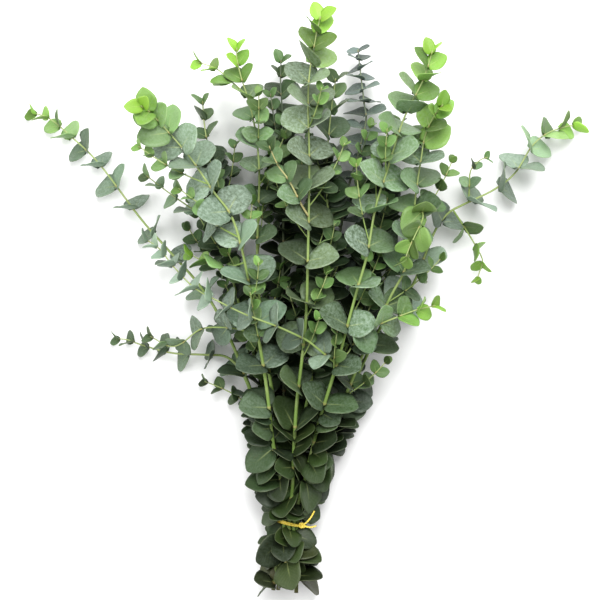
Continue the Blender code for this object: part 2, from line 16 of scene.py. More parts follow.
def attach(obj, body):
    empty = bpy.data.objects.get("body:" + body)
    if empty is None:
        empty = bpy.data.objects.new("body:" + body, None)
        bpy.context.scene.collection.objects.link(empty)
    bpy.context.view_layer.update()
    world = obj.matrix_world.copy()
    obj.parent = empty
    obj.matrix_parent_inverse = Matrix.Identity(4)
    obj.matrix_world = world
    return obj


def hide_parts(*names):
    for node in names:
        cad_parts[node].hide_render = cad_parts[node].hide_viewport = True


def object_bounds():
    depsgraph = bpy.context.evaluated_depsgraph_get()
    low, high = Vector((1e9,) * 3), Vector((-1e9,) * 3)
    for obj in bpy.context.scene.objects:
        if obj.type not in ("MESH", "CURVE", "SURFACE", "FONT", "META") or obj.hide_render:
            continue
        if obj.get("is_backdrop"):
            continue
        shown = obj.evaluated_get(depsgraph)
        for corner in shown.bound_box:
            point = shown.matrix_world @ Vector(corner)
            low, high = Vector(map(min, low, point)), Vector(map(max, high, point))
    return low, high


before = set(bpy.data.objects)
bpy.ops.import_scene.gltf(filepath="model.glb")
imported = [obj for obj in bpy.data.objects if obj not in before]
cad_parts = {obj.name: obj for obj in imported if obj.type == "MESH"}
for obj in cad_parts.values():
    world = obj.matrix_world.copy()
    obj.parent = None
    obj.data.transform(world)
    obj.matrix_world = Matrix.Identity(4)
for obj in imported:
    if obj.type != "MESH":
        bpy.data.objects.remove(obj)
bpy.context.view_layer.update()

scene = bpy.context.scene

# The camera looks straight down on the bunch, whose tips are at the top of the picture. It stands a few
# millimetres off the middle, as the photo is framed.
CAMERA_HEIGHT = 2.2
CAMERA_OFFSET = (-0.005, 0.008)
VIEW_WIDTH = 0.66  # what the picture's width shows
VIEW_DEPTH = 2.12  # at this distance, halfway up the leaves
SENSOR = 36.0
camera = bpy.data.cameras.new("camera")
camera.sensor_width = SENSOR
camera.lens = SENSOR * VIEW_DEPTH / VIEW_WIDTH
camera.clip_end = 20.0
viewer = bpy.data.objects.new("camera", camera)
viewer.location = (*CAMERA_OFFSET, CAMERA_HEIGHT)
scene.collection.objects.link(viewer)
scene.camera = viewer

# Studio light: a large soft box beyond the tips, a smaller one at the left, and a white room that
# lightens the shadows. Each lamp has its place, its size and its power.
LAMPS = {"soft_box": ((0.2, 0.9, 1.7), 1.3, 36.0), "side_box": ((-1.2, -0.2, 1.3), 1.2, 10.0)}
ROOM = 0.66
for name, (place, size, power) in LAMPS.items():
    lamp = bpy.data.lights.new(name, "AREA")
    lamp.shape = "DISK"
    lamp.size = size
    lamp.energy = power
    lit = bpy.data.objects.new(name, lamp)
    lit.location = place
    lit.rotation_euler = (-Vector(place)).to_track_quat("-Z", "Y").to_euler()
    scene.collection.objects.link(lit)
room = bpy.data.worlds.new("room")
room.use_nodes = True
room.node_tree.nodes["Background"].inputs["Color"].default_value = (1.0, 1.0, 1.0, 1.0)
room.node_tree.nodes["Background"].inputs["Strength"].default_value = ROOM
scene.world = room
scene.view_settings.view_transform = "Standard"
scene.view_settings.look = "Medium High Contrast"


# The table is a plain white sweep that the bunch lies on. It is only a backdrop, wide enough to fill
# every view.
TABLE_HALF = 4.0
TABLE_WHITE = (0.94, 0.94, 0.94, 1.0)
TABLE_ROUGH = 0.9
table_mesh = bpy.data.meshes.new("table")
flat = bmesh.new()
bmesh.ops.create_grid(flat, x_segments=1, y_segments=1, size=TABLE_HALF)
flat.to_mesh(table_mesh)
flat.free()
table = bpy.data.objects.new("table", table_mesh)
scene.collection.objects.link(table)
table_paint = bpy.data.materials.new("table_paint")
table_paint.use_nodes = True
table_paint.node_tree.nodes["Principled BSDF"].inputs["Base Color"].default_value = TABLE_WHITE
table_paint.node_tree.nodes["Principled BSDF"].inputs["Roughness"].default_value = TABLE_ROUGH
table_mesh.materials.append(table_paint)
table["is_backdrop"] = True


# Thirteen cut stems with their side shoots: brown at the cut, then green, and paler towards the tips.
# Ten are squeezed by the tie into a ring round three others. Each is swept along its own course, a
# little thicker at every pair of leaves.
MILLIMETRE = 0.001  # in metres
UP = Vector((0, 0, 1))
TIE_Y = -242.0
TIE_CENTRE = Vector((-17.0, TIE_Y, 32.0))
CUT_CENTRE = Vector((-22.0, -318.0, 29.0))
RING = 9.4  # stem axes of the outer ring at the tie, from its centre
CORE = 3.3  # and of the three inner stems
CUT_SPREAD = 1.45  # how much wider the stems stand at their cut ends
STEM_RADIUS = 2.6
TIP_RADIUS = 0.75
FORK_TIP_RADIUS = 0.65  # at the tip of a side shoot
THICK_REACH = 130.0  # a stem keeps its thickness this far from its cut end
STEM_SIDES = 4  # young eucalyptus stems are square
BEND = 0.5  # the most that a straight stretch of stem may lie off its curve
BEND_PARTS = 6  # equal parts of a stretch, whose ends are compared with the curve

# How the pairs of leaves follow each other down a shoot from its tip, each square to the last.
FIRST_PAIR = 3.0
TIP_GAP = 13.5
GAP_GROWTH = 0.135
WIDEST_GAP = 47.0
CUT_BARE = 8.0  # a stem bears no leaf this close to its cut end
FORK_BARE = 13.0  # nor does a side shoot to its stem
BUNDLE_TOP = -158.0  # the bundle reaches from here to the cut ends
BUNDLE_GAP = 36.0

# A shoot has its node, its radius where it is a side shoot, its largest leaf, the turn of its first
# pair, how far its blades face the sky, the spacing of its pairs, its route and how far they lift.
Shoot = namedtuple("Shoot", "node radius leaf turn face spacing route lift", defaults=(1.0,))
Stem = namedtuple("Stem", "ring angle cut")
# Each stem's place in the tied ring, and its cut end.
STEMS = {
    "stem_centre": Stem(RING, 92, -312),
    "stem_left": Stem(RING, 128, -306),
    "stem_right": Stem(RING, 56, -317),
    "stem_tall": Stem(RING, 20, -321),
    "stem_upper_left": Stem(CORE, 128, -300),
    "stem_middle": Stem(CORE, 8, -304),
    "stem_far_left": Stem(RING, 164, -318),
    "stem_far_right": Stem(RING, -16, -309),
    "stem_lower_left": Stem(RING, 200, -313),
    "stem_blue": Stem(RING, -52, -318),
    "stem_dark": Stem(RING, -88, -308),
    "stem_thin": Stem(RING, 236, -320),
    "stem_rear": Stem(CORE, -112, -310),
}
# Every shoot from where it leaves the bundle or its stem to its tip, the ones nearest the top first.
SHOOTS = [
    Shoot("stem_centre", 2.3, 37, 35, 0.8, 1.0, [
        (-14, -206, 46), (-9, -111, 66), (1, -20, 84), (4, 74, 104), (5, 156, 122),
        (4, 235, 138), (11, 284, 146), (17, 310, 151)]),
    Shoot("stem_centre", 1.5, 29, 50, 0.9, 1.25, [
        (4, 99, 109), (-4, 112, 116), (-17, 137, 126), (-29, 153, 133), (-38, 173, 139)]),
    Shoot("stem_left", 2.2, 37, 50, 0.85, 1.05, [
        (-25, -199, 44), (-34, -158, 54), (-42, -88, 72), (-50, -37, 86), (-64, 44, 104),
        (-78, 96, 114), (-99, 126, 120), (-123, 161, 128), (-148, 190, 140), (-163, 206, 158),
        (-172, 212, 176)]),
    Shoot("stem_left", 1.3, 28, 35, 0.8, 1.3, [
        (-73, 75, 110), (-88, 85, 98), (-104, 95, 92), (-138, 118, 86), (-160, 134, 84),
        (-174, 145, 84)]),
    Shoot("stem_left", 1.2, 27, 50, 0.8, 1.3, [
        (-67, 49, 105), (-79, 45, 90), (-95, 45, 78), (-114, 52, 70), (-127, 59, 68)]),
    Shoot("stem_left", 1.3, 25, 40, 0.7, 1.3, [
        (-50, -37, 86), (-68, -25, 84), (-97, -22, 82), (-116, -25, 78), (-136, -40, 72),
        (-150, -43, 68), (-171, -32, 66)]),
    Shoot("stem_right", 2.2, 36, 55, 0.8, 1.0, [
        (5, -174, 48), (16, -128, 60), (36, -61, 82), (46, -23, 92), (57, 18, 100), (68, 58, 106),
        (77, 109, 112), (89, 147, 116), (106, 201, 122), (127, 244, 130), (137, 275, 136)]),
    Shoot("stem_right", 1.5, 25, 45, 0.25, 0.85, [
        (36, -62, 82), (13, -44, 98), (1, -35, 104), (-29, -21, 112), (-63, -8, 116),
        (-92, 6, 116), (-119, 21, 114), (-141, 43, 112), (-158, 64, 110), (-173, 74, 108)]),
    Shoot("stem_right", 1.4, 28, 45, 0.8, 1.2, [
        (46, -27, 92), (73, -21, 98), (92, -14, 102), (121, -3, 106), (142, 2, 109)]),
    Shoot("stem_right", 1.2, 26, 60, 0.7, 1.3, [
        (36, -62, 82), (50, -47, 76), (63, -20, 72), (76, 9, 70), (78, 21, 70)]),
    Shoot("stem_tall", 2.4, 34, 40, 0.8, 1.05, [
        (3, -198, 38), (22, -152, 45), (46, -98, 54), (64, -54, 62), (95, 12, 76),
        (110, 41, 82), (119, 82, 90), (121, 120, 96), (127, 163, 102), (131, 187, 108),
        (140, 207, 122), (148, 217, 136)]),
    Shoot("stem_tall", 1.3, 32, 50, 0.9, 1.2, [
        (121, 112, 95), (127, 106, 106), (128, 97, 116), (122, 84, 123), (113, 65, 125),
        (108, 51, 123)]),
    Shoot("stem_upper_left", 1.9, 29, 45, 0.85, 1.1, [
        (-24, -157, 40), (-35, -101, 46), (-45, -33, 52), (-52, 33, 58), (-52, 89, 64),
        (-50, 144, 72), (-53, 187, 78), (-60, 222, 84), (-68, 247, 88), (-74, 271, 92),
        (-74, 284, 94)]),
    Shoot("stem_upper_left", 1.1, 26, 35, 0.8, 1.3, [
        (-64, 233, 86), (-77, 245, 84), (-95, 261, 82), (-109, 267, 80), (-117, 270, 80)]),
    Shoot("stem_middle", 1.9, 33, 40, 0.7, 1.2, [
        (-8, -157, 42), (6, -90, 52), (18, 0, 62), (26, 80, 72), (24, 150, 82), (28, 205, 90),
        (34, 250, 96)]),
    Shoot("stem_far_left", 1.9, 28, 40, 0.6, 1.05, [
        (-28, -191, 34), (-46, -135, 32), (-66, -79, 30), (-91, -20, 28), (-117, 23, 27),
        (-156, 67, 25), (-185, 100, 24), (-232, 162, 22), (-264, 193, 20), (-288, 213, 18),
        (-307, 220, 18)]),
    Shoot("stem_far_right", 1.9, 34, 50, 0.8, 1.2, [
        (1, -206, 28), (19, -164, 26), (41, -118, 25), (64, -68, 25), (89, -17, 26),
        (108, 8, 28), (124, 29, 30), (146, 84, 32), (161, 105, 34), (178, 115, 35),
        (213, 132, 34), (237, 151, 32), (256, 181, 30), (274, 196, 28), (296, 204, 24),
        (307, 205, 22)]),
    Shoot("stem_far_right", 1.1, 19, 35, 0.7, 1.3, [
        (183, 119, 35), (185, 137, 40), (186, 153, 44), (197, 165, 46), (205, 167, 47)]),
    Shoot("stem_far_right", 1.2, 22, 55, 0.7, 1.3, [
        (167, 109, 34), (181, 88, 32), (193, 69, 28), (201, 53, 25), (198, 40, 22),
        (195, 31, 20)]),
    Shoot("stem_lower_left", 1.7, 25, 40, 0.6, 1.15, [
        (-28, -209, 26), (-40, -164, 22), (-53, -122, 20), (-68, -79, 19), (-87, -57, 19),
        (-114, -54, 18), (-150, -52, 17), (-184, -43, 16), (-201, -37, 15), (-213, -36, 14)]),
    Shoot("stem_lower_left", 1.1, 21, 50, 0.8, 1.3, [
        (-53, -122, 20), (-72, -104, 20), (-91, -93, 19), (-113, -84, 18)]),
    Shoot("stem_blue", 1.9, 29, 45, 0.45, 0.68, [
        (-6, -203, 22), (2, -147, 20), (13, -79, 20), (24, -7, 22), (40, 83, 26), (48, 129, 30),
        (60, 171, 34), (69, 209, 36), (67, 229, 37), (62, 271, 36), (60, 290, 36)], 0.3),
    Shoot("stem_blue", 1.2, 26, 50, 0.8, 1.4, [
        (40, 88, 27), (26, 112, 40), (20, 145, 52), (24, 165, 56)]),
    Shoot("stem_dark", 1.8, 30, 45, 0.8, 1.25, [
        (-13, -204, 21), (-19, -147, 18), (-24, -79, 17), (-25, 6, 17), (-24, 84, 18),
        (-24, 170, 20), (-25, 218, 24), (-27, 256, 32), (-26, 278, 42)]),
    Shoot("stem_thin", 1.6, 28, 40, 0.8, 1.25, [
        (-21, -203, 24), (-33, -147, 20), (-50, -79, 18), (-70, -11, 17), (-87, 57, 17),
        (-99, 119, 18), (-108, 175, 20), (-113, 206, 22), (-115, 233, 24)]),
    Shoot("stem_rear", 1.8, 33, 50, 0.8, 1.3, [
        (-2, -160, 28), (22, -100, 20), (50, -40, 18), (72, 30, 18), (84, 100, 20),
        (96, 160, 24), (104, 205, 30)]),
]


def bundle_point(stem, y):
    """Where a stem's axis crosses the plane at y, between its cut end and the tie."""
    t = (y - TIE_Y) / (CUT_CENTRE.y - TIE_Y)
    centre = TIE_CENTRE.lerp(CUT_CENTRE, t)
    reach = stem.ring * (1 + (CUT_SPREAD - 1) * t)
    angle = math.radians(stem.angle)
    return Vector((centre.x + reach * math.cos(angle), y, centre.z + reach * math.sin(angle)))


def smooth(points, step=2.0):
    """A smooth curve that passes through all the points, sampled about every step."""
    ends = [2 * points[0] - points[1]] + points + [2 * points[-1] - points[-2]]
    dense = []
    for a, b, c, d in zip(ends, ends[1:], ends[2:], ends[3:]):
        count = max(2, round((c - b).length / step))
        for i in range(count):
            t = i / count
            square = (2 * a - 5 * b + 4 * c - d) * t * t
            cube = (3 * b - a - 3 * c + d) * t ** 3
            dense.append(0.5 * (2 * b + (c - a) * t + square + cube))
    dense.append(points[-1])
    return dense


class Course:
    """A line through points, read by the distance along it."""

    def __init__(self, points, reach=None):
        self.points = points
        self.reach = reach or [0.0]
        if not reach:
            for a, b in zip(points, points[1:]):
                self.reach.append(self.reach[-1] + (b - a).length)
        self.length = self.reach[-1]

    def at(self, s):
        """The point and the direction at the distance s from the base."""
        i = 1
        while i < len(self.reach) - 1 and self.reach[i] < s:
            i += 1
        a, b = self.points[i - 1], self.points[i]
        t = (s - self.reach[i - 1]) / (self.reach[i] - self.reach[i - 1])
        return a.lerp(b, t), (b - a).normalized()

    def nearest(self, point):
        return min(self.points, key=lambda p: (p - point).length)


def stations(course, main, spacing):
    """Distances from the tip at which a shoot bears its pairs of leaves."""
    stop = course.length - (CUT_BARE if main else FORK_BARE)
    s = FIRST_PAIR
    found = []
    while s < stop:
        found.append(s)
        gap = min(TIP_GAP + GAP_GROWTH * s, WIDEST_GAP) * spacing
        if main and course.at(course.length - s)[0].y < BUNDLE_TOP:
            gap = BUNDLE_GAP
        s += gap
    return found


def across_frame(direction):
    """Two unit vectors square to a shoot: one level, to its right, and one above it."""
    side = direction.cross(UP).normalized()
    return side, side.cross(direction)


def tube(course, radii, stops, turn):
    """Points and faces of a shoot, square in section, its flats facing its pairs of leaves."""
    points = []
    faces = []
    for s, radius in zip(stops, radii):
        centre, direction = course.at(s)
        side, above = across_frame(direction)
        for k in range(STEM_SIDES):
            angle = turn + 2 * math.pi * (k + 0.5) / STEM_SIDES
            points.append(centre + radius * (math.cos(angle) * side + math.sin(angle) * above))
    for i in range(len(stops) - 1):
        for k in range(STEM_SIDES):
            a = i * STEM_SIDES + k
            b = i * STEM_SIDES + (k + 1) % STEM_SIDES
            faces.append((b, a, a + STEM_SIDES, b + STEM_SIDES))
    last = (len(stops) - 1) * STEM_SIDES
    faces.append(tuple(range(STEM_SIDES)))
    faces.append(tuple(reversed(range(last, last + STEM_SIDES))))
    return points, faces


def shoot_courses():
    """Every shoot with its curve: a stem starts at its cut end, a side shoot on its stem."""
    stems = {}
    found = []
    for shoot in SHOOTS:
        route = [Vector(p) for p in shoot.route]
        main = shoot.node not in stems
        if main:
            stem = STEMS[shoot.node]
            low = [bundle_point(stem, stem.cut), bundle_point(stem, (stem.cut + TIE_Y) / 2),
                   bundle_point(stem, TIE_Y)]
            course = Course(smooth(low + route))
            stems[shoot.node] = course
        else:
            route[0] = stems[shoot.node].nearest(route[0])
            course = Course(smooth(route))
        found.append((shoot, course, main))
    return found


def radius_at(shoot, main, course, s):
    """A shoot thins evenly from its base, or from the tie, to its tip."""
    if main:
        t = max(0.0, (s - THICK_REACH) / (course.length - THICK_REACH))
        return STEM_RADIUS + (TIP_RADIUS - STEM_RADIUS) * t
    return shoot.radius + (FORK_TIP_RADIUS - shoot.radius) * s / course.length


def sag(course, a, b):
    """How far the curve strays from the chord between two places on it."""
    start, end = course.at(a)[0], course.at(b)[0]
    most = 0.0
    for i in range(1, BEND_PARTS):
        point = course.at(a + (b - a) * i / BEND_PARTS)[0]
        most = max(most, (point - start.lerp(end, i / BEND_PARTS)).length)
    return most


def tube_stops(course, main, marks):
    """Ring places between the pairs of leaves, as few as keep each stretch near its curve."""
    marks = sorted(marks)
    places = []
    for a, b in zip([0.0] + marks, marks + [course.length]):
        places += [a + (b - a) / 3, b - (b - a) / 3]
    places.append(course.length)
    stops = [0.0]
    for here, after in zip(places, places[1:] + [None]):
        if after is None or sag(course, stops[-1], after) > BEND:
            stops.append(here)
    if main:
        stops.append(TIE_Y - course.points[0].y)
    return sorted(stops)


def straightened(course, stops):
    """The same shoot as straight stretches between its rings, which the leaves stand on."""
    return Course([course.at(s)[0] for s in stops], stops)


class Shade:
    """A socket in a material's nodes, so that shader maths is written as an expression."""

    def __init__(self, socket):
        self.socket = socket

    def node(self, kind, settings, inputs, output=0):
        """A new node beside this one, with its settings and its sockets, by name or number."""
        tree = self.socket.id_data
        made = tree.nodes.new("ShaderNode" + kind)
        for name, value in settings.items():
            setattr(made, name, value)
        for name, value in inputs.items():
            if isinstance(value, Shade):
                tree.links.new(value.socket, made.inputs[name])
            else:
                made.inputs[name].default_value = value
        return Shade(made.outputs[output])

    def between(self, low, high):
        """A colour between two others, by this share."""
        return self.node("Mix", {"data_type": "RGBA"}, {0: self, 6: low, 7: high}, 2)

    def math(self, operation, *values):
        return self.node("Math", {"operation": operation}, dict(enumerate(values)))

    def __add__(self, other):
        return self.math("ADD", self, other)

    def __sub__(self, other):
        return self.math("SUBTRACT", self, other)

    def __rsub__(self, other):
        return self.math("SUBTRACT", other, self)

    def __mul__(self, other):
        return self.math("MULTIPLY", self, other)

    __radd__ = __add__
    __rmul__ = __mul__

    def __abs__(self):
        return self.math("ABSOLUTE", self)

    def step(self, low, high):
        """0 below low and 1 above high, or the other way round, with a soft step between."""
        return self.node("MapRange", {"interpolation_type": "SMOOTHSTEP"},
                         {"Value": self, "From Min": low, "From Max": high})

    def noise(self, scale, detail, roughness=0.5):
        """Noise read at this vector, with so many cells in a metre."""
        return self.node("TexNoise", {}, {"Vector": self, "Scale": scale, "Detail": detail,
                                          "Roughness": roughness})

    def stretched(self, scale):
        return self.node("VectorMath", {"operation": "MULTIPLY"}, {0: self, 1: scale})

    def tinted(self, factor, colour, blend="MIX"):
        """This colour with another one laid over it."""
        return self.node("Mix", {"data_type": "RGBA", "blend_type": blend},
                         {0: factor, 6: self, 7: colour}, 2)


def new_paint(name, steady):
    """A material with its steady values set, its shader, and its object coordinates."""
    paint = bpy.data.materials.new(name)
    paint.use_nodes = True
    shader = paint.node_tree.nodes["Principled BSDF"]
    for socket, value in steady.items():
        shader.inputs[socket].default_value = value
    place = paint.node_tree.nodes.new("ShaderNodeTexCoord")
    return paint, shader, Shade(place.outputs["Object"])


def wire_up(shader, values, height, depth):
    """Joins the worked-out values to the shader, and a relief to its bump, so many metres deep."""
    links = shader.id_data.links
    for name, value in values.items():
        links.new(value.socket, shader.inputs[name])
    bumped = height.node("Bump", {}, {"Height": height, "Distance": depth, "Strength": 1.0})
    links.new(bumped.socket, shader.inputs["Normal"])


# Bark is green with pale patches, dark streaks and tan knots, and the cut ends show tan wood.
BARK_PALE = (0.45, 0.49, 0.25, 1.0)
BARK_DARK = (0.10, 0.09, 0.03, 1.0)
KNOT_TAN = (0.42, 0.30, 0.14, 1.0)
BARK_DEPTH = 0.0003  # of its relief, in metres
bark, bark_shader, bark_place = new_paint("green_bark", {"Specular IOR Level": 0.35})
bark_hue = bark_place.node("Attribute", {"attribute_name": "bark"}, {})
knot = bark_place.node("Attribute", {"attribute_name": "knot"}, {}, 2)
streak = bark_place.stretched((1.0, 0.12, 1.0)).noise(900.0, 4.0, 0.6)
patch = bark_place.noise(60.0, 3.0)
bark_colour = bark_hue.tinted(patch.step(0.45, 0.75) * 0.35, BARK_PALE)
bark_colour = bark_colour.tinted(streak.step(0.55, 0.80) * 0.45, BARK_DARK)
bark_colour = bark_colour.tinted(knot * 0.55, KNOT_TAN)
wire_up(bark_shader, {"Base Color": bark_colour, "Roughness": streak * 0.25 + 0.42},
        streak * 0.6 + knot * 0.4, BARK_DEPTH)

WOOD_PALE = (0.36, 0.24, 0.11, 1.0)
WOOD_DARK = (0.10, 0.055, 0.02, 1.0)
GRAIN_DEPTH = 0.0003
cut_wood, cut_shader, cut_place = new_paint("cut_wood", {"Specular IOR Level": 0.2})
grain = cut_place.noise(1500.0, 4.0, 0.65)
cut_tone = grain.step(0.35, 0.7).between(WOOD_PALE, WOOD_DARK)
wire_up(cut_shader, {"Base Color": cut_tone, "Roughness": grain * 0.2 + 0.7}, grain, GRAIN_DEPTH)

SWEPT_SIDES = 10
SWEPT_GAP = 5.0
ROUNDED = 0.9  # radius of the round stem over the reach of the square solid's corners
SWELL = 0.2  # how much thicker a stem is at a pair of leaves
SWELL_HALF = 2.2
LEAST_GAP = 0.4  # between two rings of a stem


def sweep(mesh, points, radii, sides, tell):
    """A round tube, extruded ring by ring from a circle and closed; tell marks each ring's points."""
    ahead = (points[1] - points[0]).normalized()
    turned = ahead.to_track_quat("Z", "Y")
    place = Matrix.LocRotScale(points[0], turned, Vector((radii[0],) * 3))
    ring = bmesh.ops.create_circle(mesh, segments=sides, radius=1.0, matrix=place)["verts"]
    edges = list({edge for vert in ring for edge in vert.link_edges})
    tell(ring, 0)
    caps = [mesh.faces.new(ring)]
    for i in range(1, len(points)):
        after = points[min(i + 1, len(points) - 1)]
        heading = (after - points[i - 1]).normalized()
        turned = ahead.rotation_difference(heading) @ turned
        ahead = heading
        grown = bmesh.ops.extrude_edge_only(mesh, edges=edges)["geom"]
        ring = [part for part in grown if isinstance(part, bmesh.types.BMVert)]
        held = set(ring)
        edges = [part for part in grown
                 if isinstance(part, bmesh.types.BMEdge) and held.issuperset(part.verts)]
        here = Matrix.LocRotScale(points[i], turned, Vector((radii[i],) * 3))
        bmesh.ops.transform(mesh, matrix=here @ place.inverted(), verts=ring)
        place = here
        tell(ring, i)
    end = bmesh.ops.edgeloop_fill(mesh, edges=edges)["faces"]
    return caps + end


def finished(name, mesh, paints, node):
    """The bmesh, in millimetres, as a smooth piece in metres that rides with the bunch."""
    bmesh.ops.scale(mesh, vec=(MILLIMETRE,) * 3, verts=mesh.verts)
    data = bpy.data.meshes.new(name)
    mesh.to_mesh(data)
    mesh.free()
    for paint in paints:
        data.materials.append(paint)
    data.shade_smooth()
    piece = bpy.data.objects.new(name, data)
    scene.collection.objects.link(piece)
    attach(piece, "root")
    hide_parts(node)
    return piece


# Bark colours at the cut, halfway and at the tip: of most shoots, of the tan side branch, and of the
# blue-grey and the dark stem.
BARK = ((0.11, 0.20, 0.035), (0.22, 0.32, 0.09), (0.34, 0.40, 0.18))
BARK_TAN = ((0.36, 0.32, 0.15), (0.46, 0.40, 0.20), (0.44, 0.40, 0.20))
BARK_BLUE = ((0.10, 0.17, 0.05), (0.20, 0.24, 0.14), (0.22, 0.27, 0.20))
BROWNED = (0.07, 0.045, 0.02)
BROWN_SHARE = 0.85
BROWN_REACH = 22.0  # a stem turns brown towards its cut
TAN_SHOOTS = (1,)  # the side branch of stem_centre


def mixed(a, b, t):
    """The colour at the share t of the way from a to b."""
    return tuple(x + (y - x) * t for x, y in zip(a, b))


def bark_at(number, shoot, main, course, s):
    """A shoot's bark colour at the distance s from its base."""
    cut, middle, tip = BARK_BLUE if shoot.node in ("stem_blue", "stem_dark") else BARK
    if number in TAN_SHOOTS:
        cut, middle, tip = BARK_TAN
    t = s / course.length if main else 0.5 + 0.5 * s / course.length
    colour = mixed(cut, middle, 2 * t) if t < 0.5 else mixed(middle, tip, 2 * t - 1)
    brown = BROWN_SHARE * max(0.0, 1 - s / BROWN_REACH) if main else 0.0
    return mixed(colour, BROWNED, brown)


def swept_shoot(mesh, number, shoot, course, main, marks):
    """One shoot as a round stem, with rings at its pairs of leaves and between them."""
    stops = {0.0, course.length}
    for mark in marks:
        stops |= {mark - SWELL_HALF, mark, mark + SWELL_HALF}
    count = round(course.length / SWEPT_GAP)
    stops |= {course.length * i / count for i in range(count)}
    stops = sorted(s for s in stops if 0 <= s <= course.length)
    stops = [s for i, s in enumerate(stops) if i == 0 or s - stops[i - 1] > LEAST_GAP]
    points = [course.at(s)[0] for s in stops]
    swelling = [max([0.0] + [1 - abs(s - mark) / SWELL_HALF for mark in marks]) for s in stops]
    radii = [radius_at(shoot, main, course, s) * ROUNDED * (1 + SWELL * bulge)
             for s, bulge in zip(stops, swelling)]
    hue = mesh.verts.layers.float_color["bark"]
    lump = mesh.verts.layers.float["knot"]

    def tell(ring, i):
        for vert in ring:
            vert[hue] = (*bark_at(number, shoot, main, course, stops[i]), 1.0)
            vert[lump] = swelling[i]

    ends = sweep(mesh, points, radii, SWEPT_SIDES, tell)
    ends[0].material_index = 1 if main else 0


# The tie is a yellow plastic cord of two twisted strands. It is wound three times round the stems and
# knotted at the upper right, with two short ends.
WIRE = 1.1  # radius of the cord
TIE_RADIUS = RING + STEM_RADIUS + 2.2  # of a winding's own middle line
WINDINGS = ((-1.4, -2.6), (0.2, -4.2), (1.5, -3.0))
WINDING_STEPS = 16
CORD_SIDES = 4
KNOT = [(-5.6, -248.2, 41.2), (-3.4, -245.8, 42.6), (-2.6, -242.8, 42.2), (-4.4, -240.4, 40.8)]
KNOT_RADIUS = 2.0
ENDS = ([(-4.0, -245.4, 42.2), (1.5, -241.6, 44.0), (7.0, -235.5, 43.0), (11.0, -228.5, 40.5)],
        [(-3.6, -243.0, 42.0), (1.8, -245.6, 42.6), (7.6, -246.6, 40.2), (13.0, -245.6, 36.5)])
STRAND = 0.62  # a strand's radius over the cord's
TWIST = 6.5  # length in which the strands turn once round each other
STRAND_SIDES = 6
STRAND_GAP = 0.8
STRAND_APART = 1.1  # how far apart the strands lie, over where they would just touch the cord's outside
AROUND_STEPS = 24  # points in a turn round the stems
CURL = Vector((1.68, 2.4, 1.2))  # half the size of the knot's own turns
CURL_STEPS = 9
CURL_TURNS = 2
CURL_START = -2.2  # where the turns begin along the knot
CURL_PITCH = 0.25  # and how far each point lies past the last
FIBRE_DEPTH = 0.0002
CORD_YELLOW = (0.80, 0.60, 0.04, 1.0)
CORD_PALE = (0.92, 0.80, 0.30, 1.0)
CORD_OLD = (0.42, 0.30, 0.03, 1.0)


def winding(offset, tilt):
    """One turn of the cord round the stems, tilted a little so that it crosses its neighbours."""
    points = []
    faces = []
    for i in range(WINDING_STEPS):
        angle = 2 * math.pi * i / WINDING_STEPS
        out = Vector((math.cos(angle), 0, math.sin(angle)))
        middle = TIE_CENTRE + TIE_RADIUS * out + Vector((0, offset + tilt * math.cos(angle), 0))
        for k in range(CORD_SIDES):
            turn = 2 * math.pi * k / CORD_SIDES
            points.append(middle + WIRE * (math.cos(turn) * out + math.sin(turn) * Vector((0, 1, 0))))
    for i in range(WINDING_STEPS):
        for k in range(CORD_SIDES):
            a = i * CORD_SIDES + k
            b = i * CORD_SIDES + (k + 1) % CORD_SIDES
            c = (i + 1) % WINDING_STEPS * CORD_SIDES
            faces.append((a, b, c + (k + 1) % CORD_SIDES, c + k))
    return points, faces


def cord(route, radius):
    """A short length of the tie's cord through the points."""
    course = Course([Vector(p) for p in route])
    stops = course.reach
    return tube(course, [radius] * len(stops), stops, 0.0)


cord_paint, cord_shader, cord_place = new_paint(
    "yellow_cord", {"Specular IOR Level": 0.5, "Base Color": CORD_YELLOW})
fibre = cord_place.noise(1800.0, 3.0, 0.6)
stain = cord_place.noise(160.0, 3.0)
cord_tone = fibre.step(0.4, 0.7).between(CORD_YELLOW, CORD_PALE)
wire_up(cord_shader, {"Base Color": cord_tone.tinted(stain.step(0.55, 0.75) * 0.5, CORD_OLD),
                      "Roughness": fibre * 0.3 + 0.3}, fibre, FIBRE_DEPTH)


def twisted(mesh, route):
    """The two strands of a cord along a route."""
    course = Course(smooth([Vector(p) for p in route], 1.0))
    count = round(course.length / STRAND_GAP)
    for strand in (0, 1):
        points = []
        for i in range(count + 1):
            middle, heading = course.at(course.length * i / count)
            side, above = across_frame(heading)
            angle = 2 * math.pi * (course.length * i / count / TWIST + strand / 2)
            points.append(middle + WIRE * (1 - STRAND) * STRAND_APART * (
                math.cos(angle) * side + math.sin(angle) * above))
        radii = [WIRE * STRAND] * len(points)
        sweep(mesh, points, radii, STRAND_SIDES, lambda ring, i: None)


def around(turns):
    """The cord's way round the stems, from the knot and back to it."""
    start = math.atan2(KNOT[1][2] - TIE_CENTRE.z, KNOT[1][0] - TIE_CENTRE.x)
    count = turns * AROUND_STEPS
    route = []
    for i in range(count + 1):
        angle = start + 2 * math.pi * turns * i / count
        place = (turns - 1) * i / count
        here, after = WINDINGS[int(place)], WINDINGS[min(int(place) + 1, turns - 1)]
        offset, tilt = (a + (b - a) * (place % 1) for a, b in zip(here, after))
        out = Vector((math.cos(angle), 0, math.sin(angle)))
        route.append(TIE_CENTRE + TIE_RADIUS * out + Vector((0, offset + tilt * math.cos(angle), 0)))
    return route


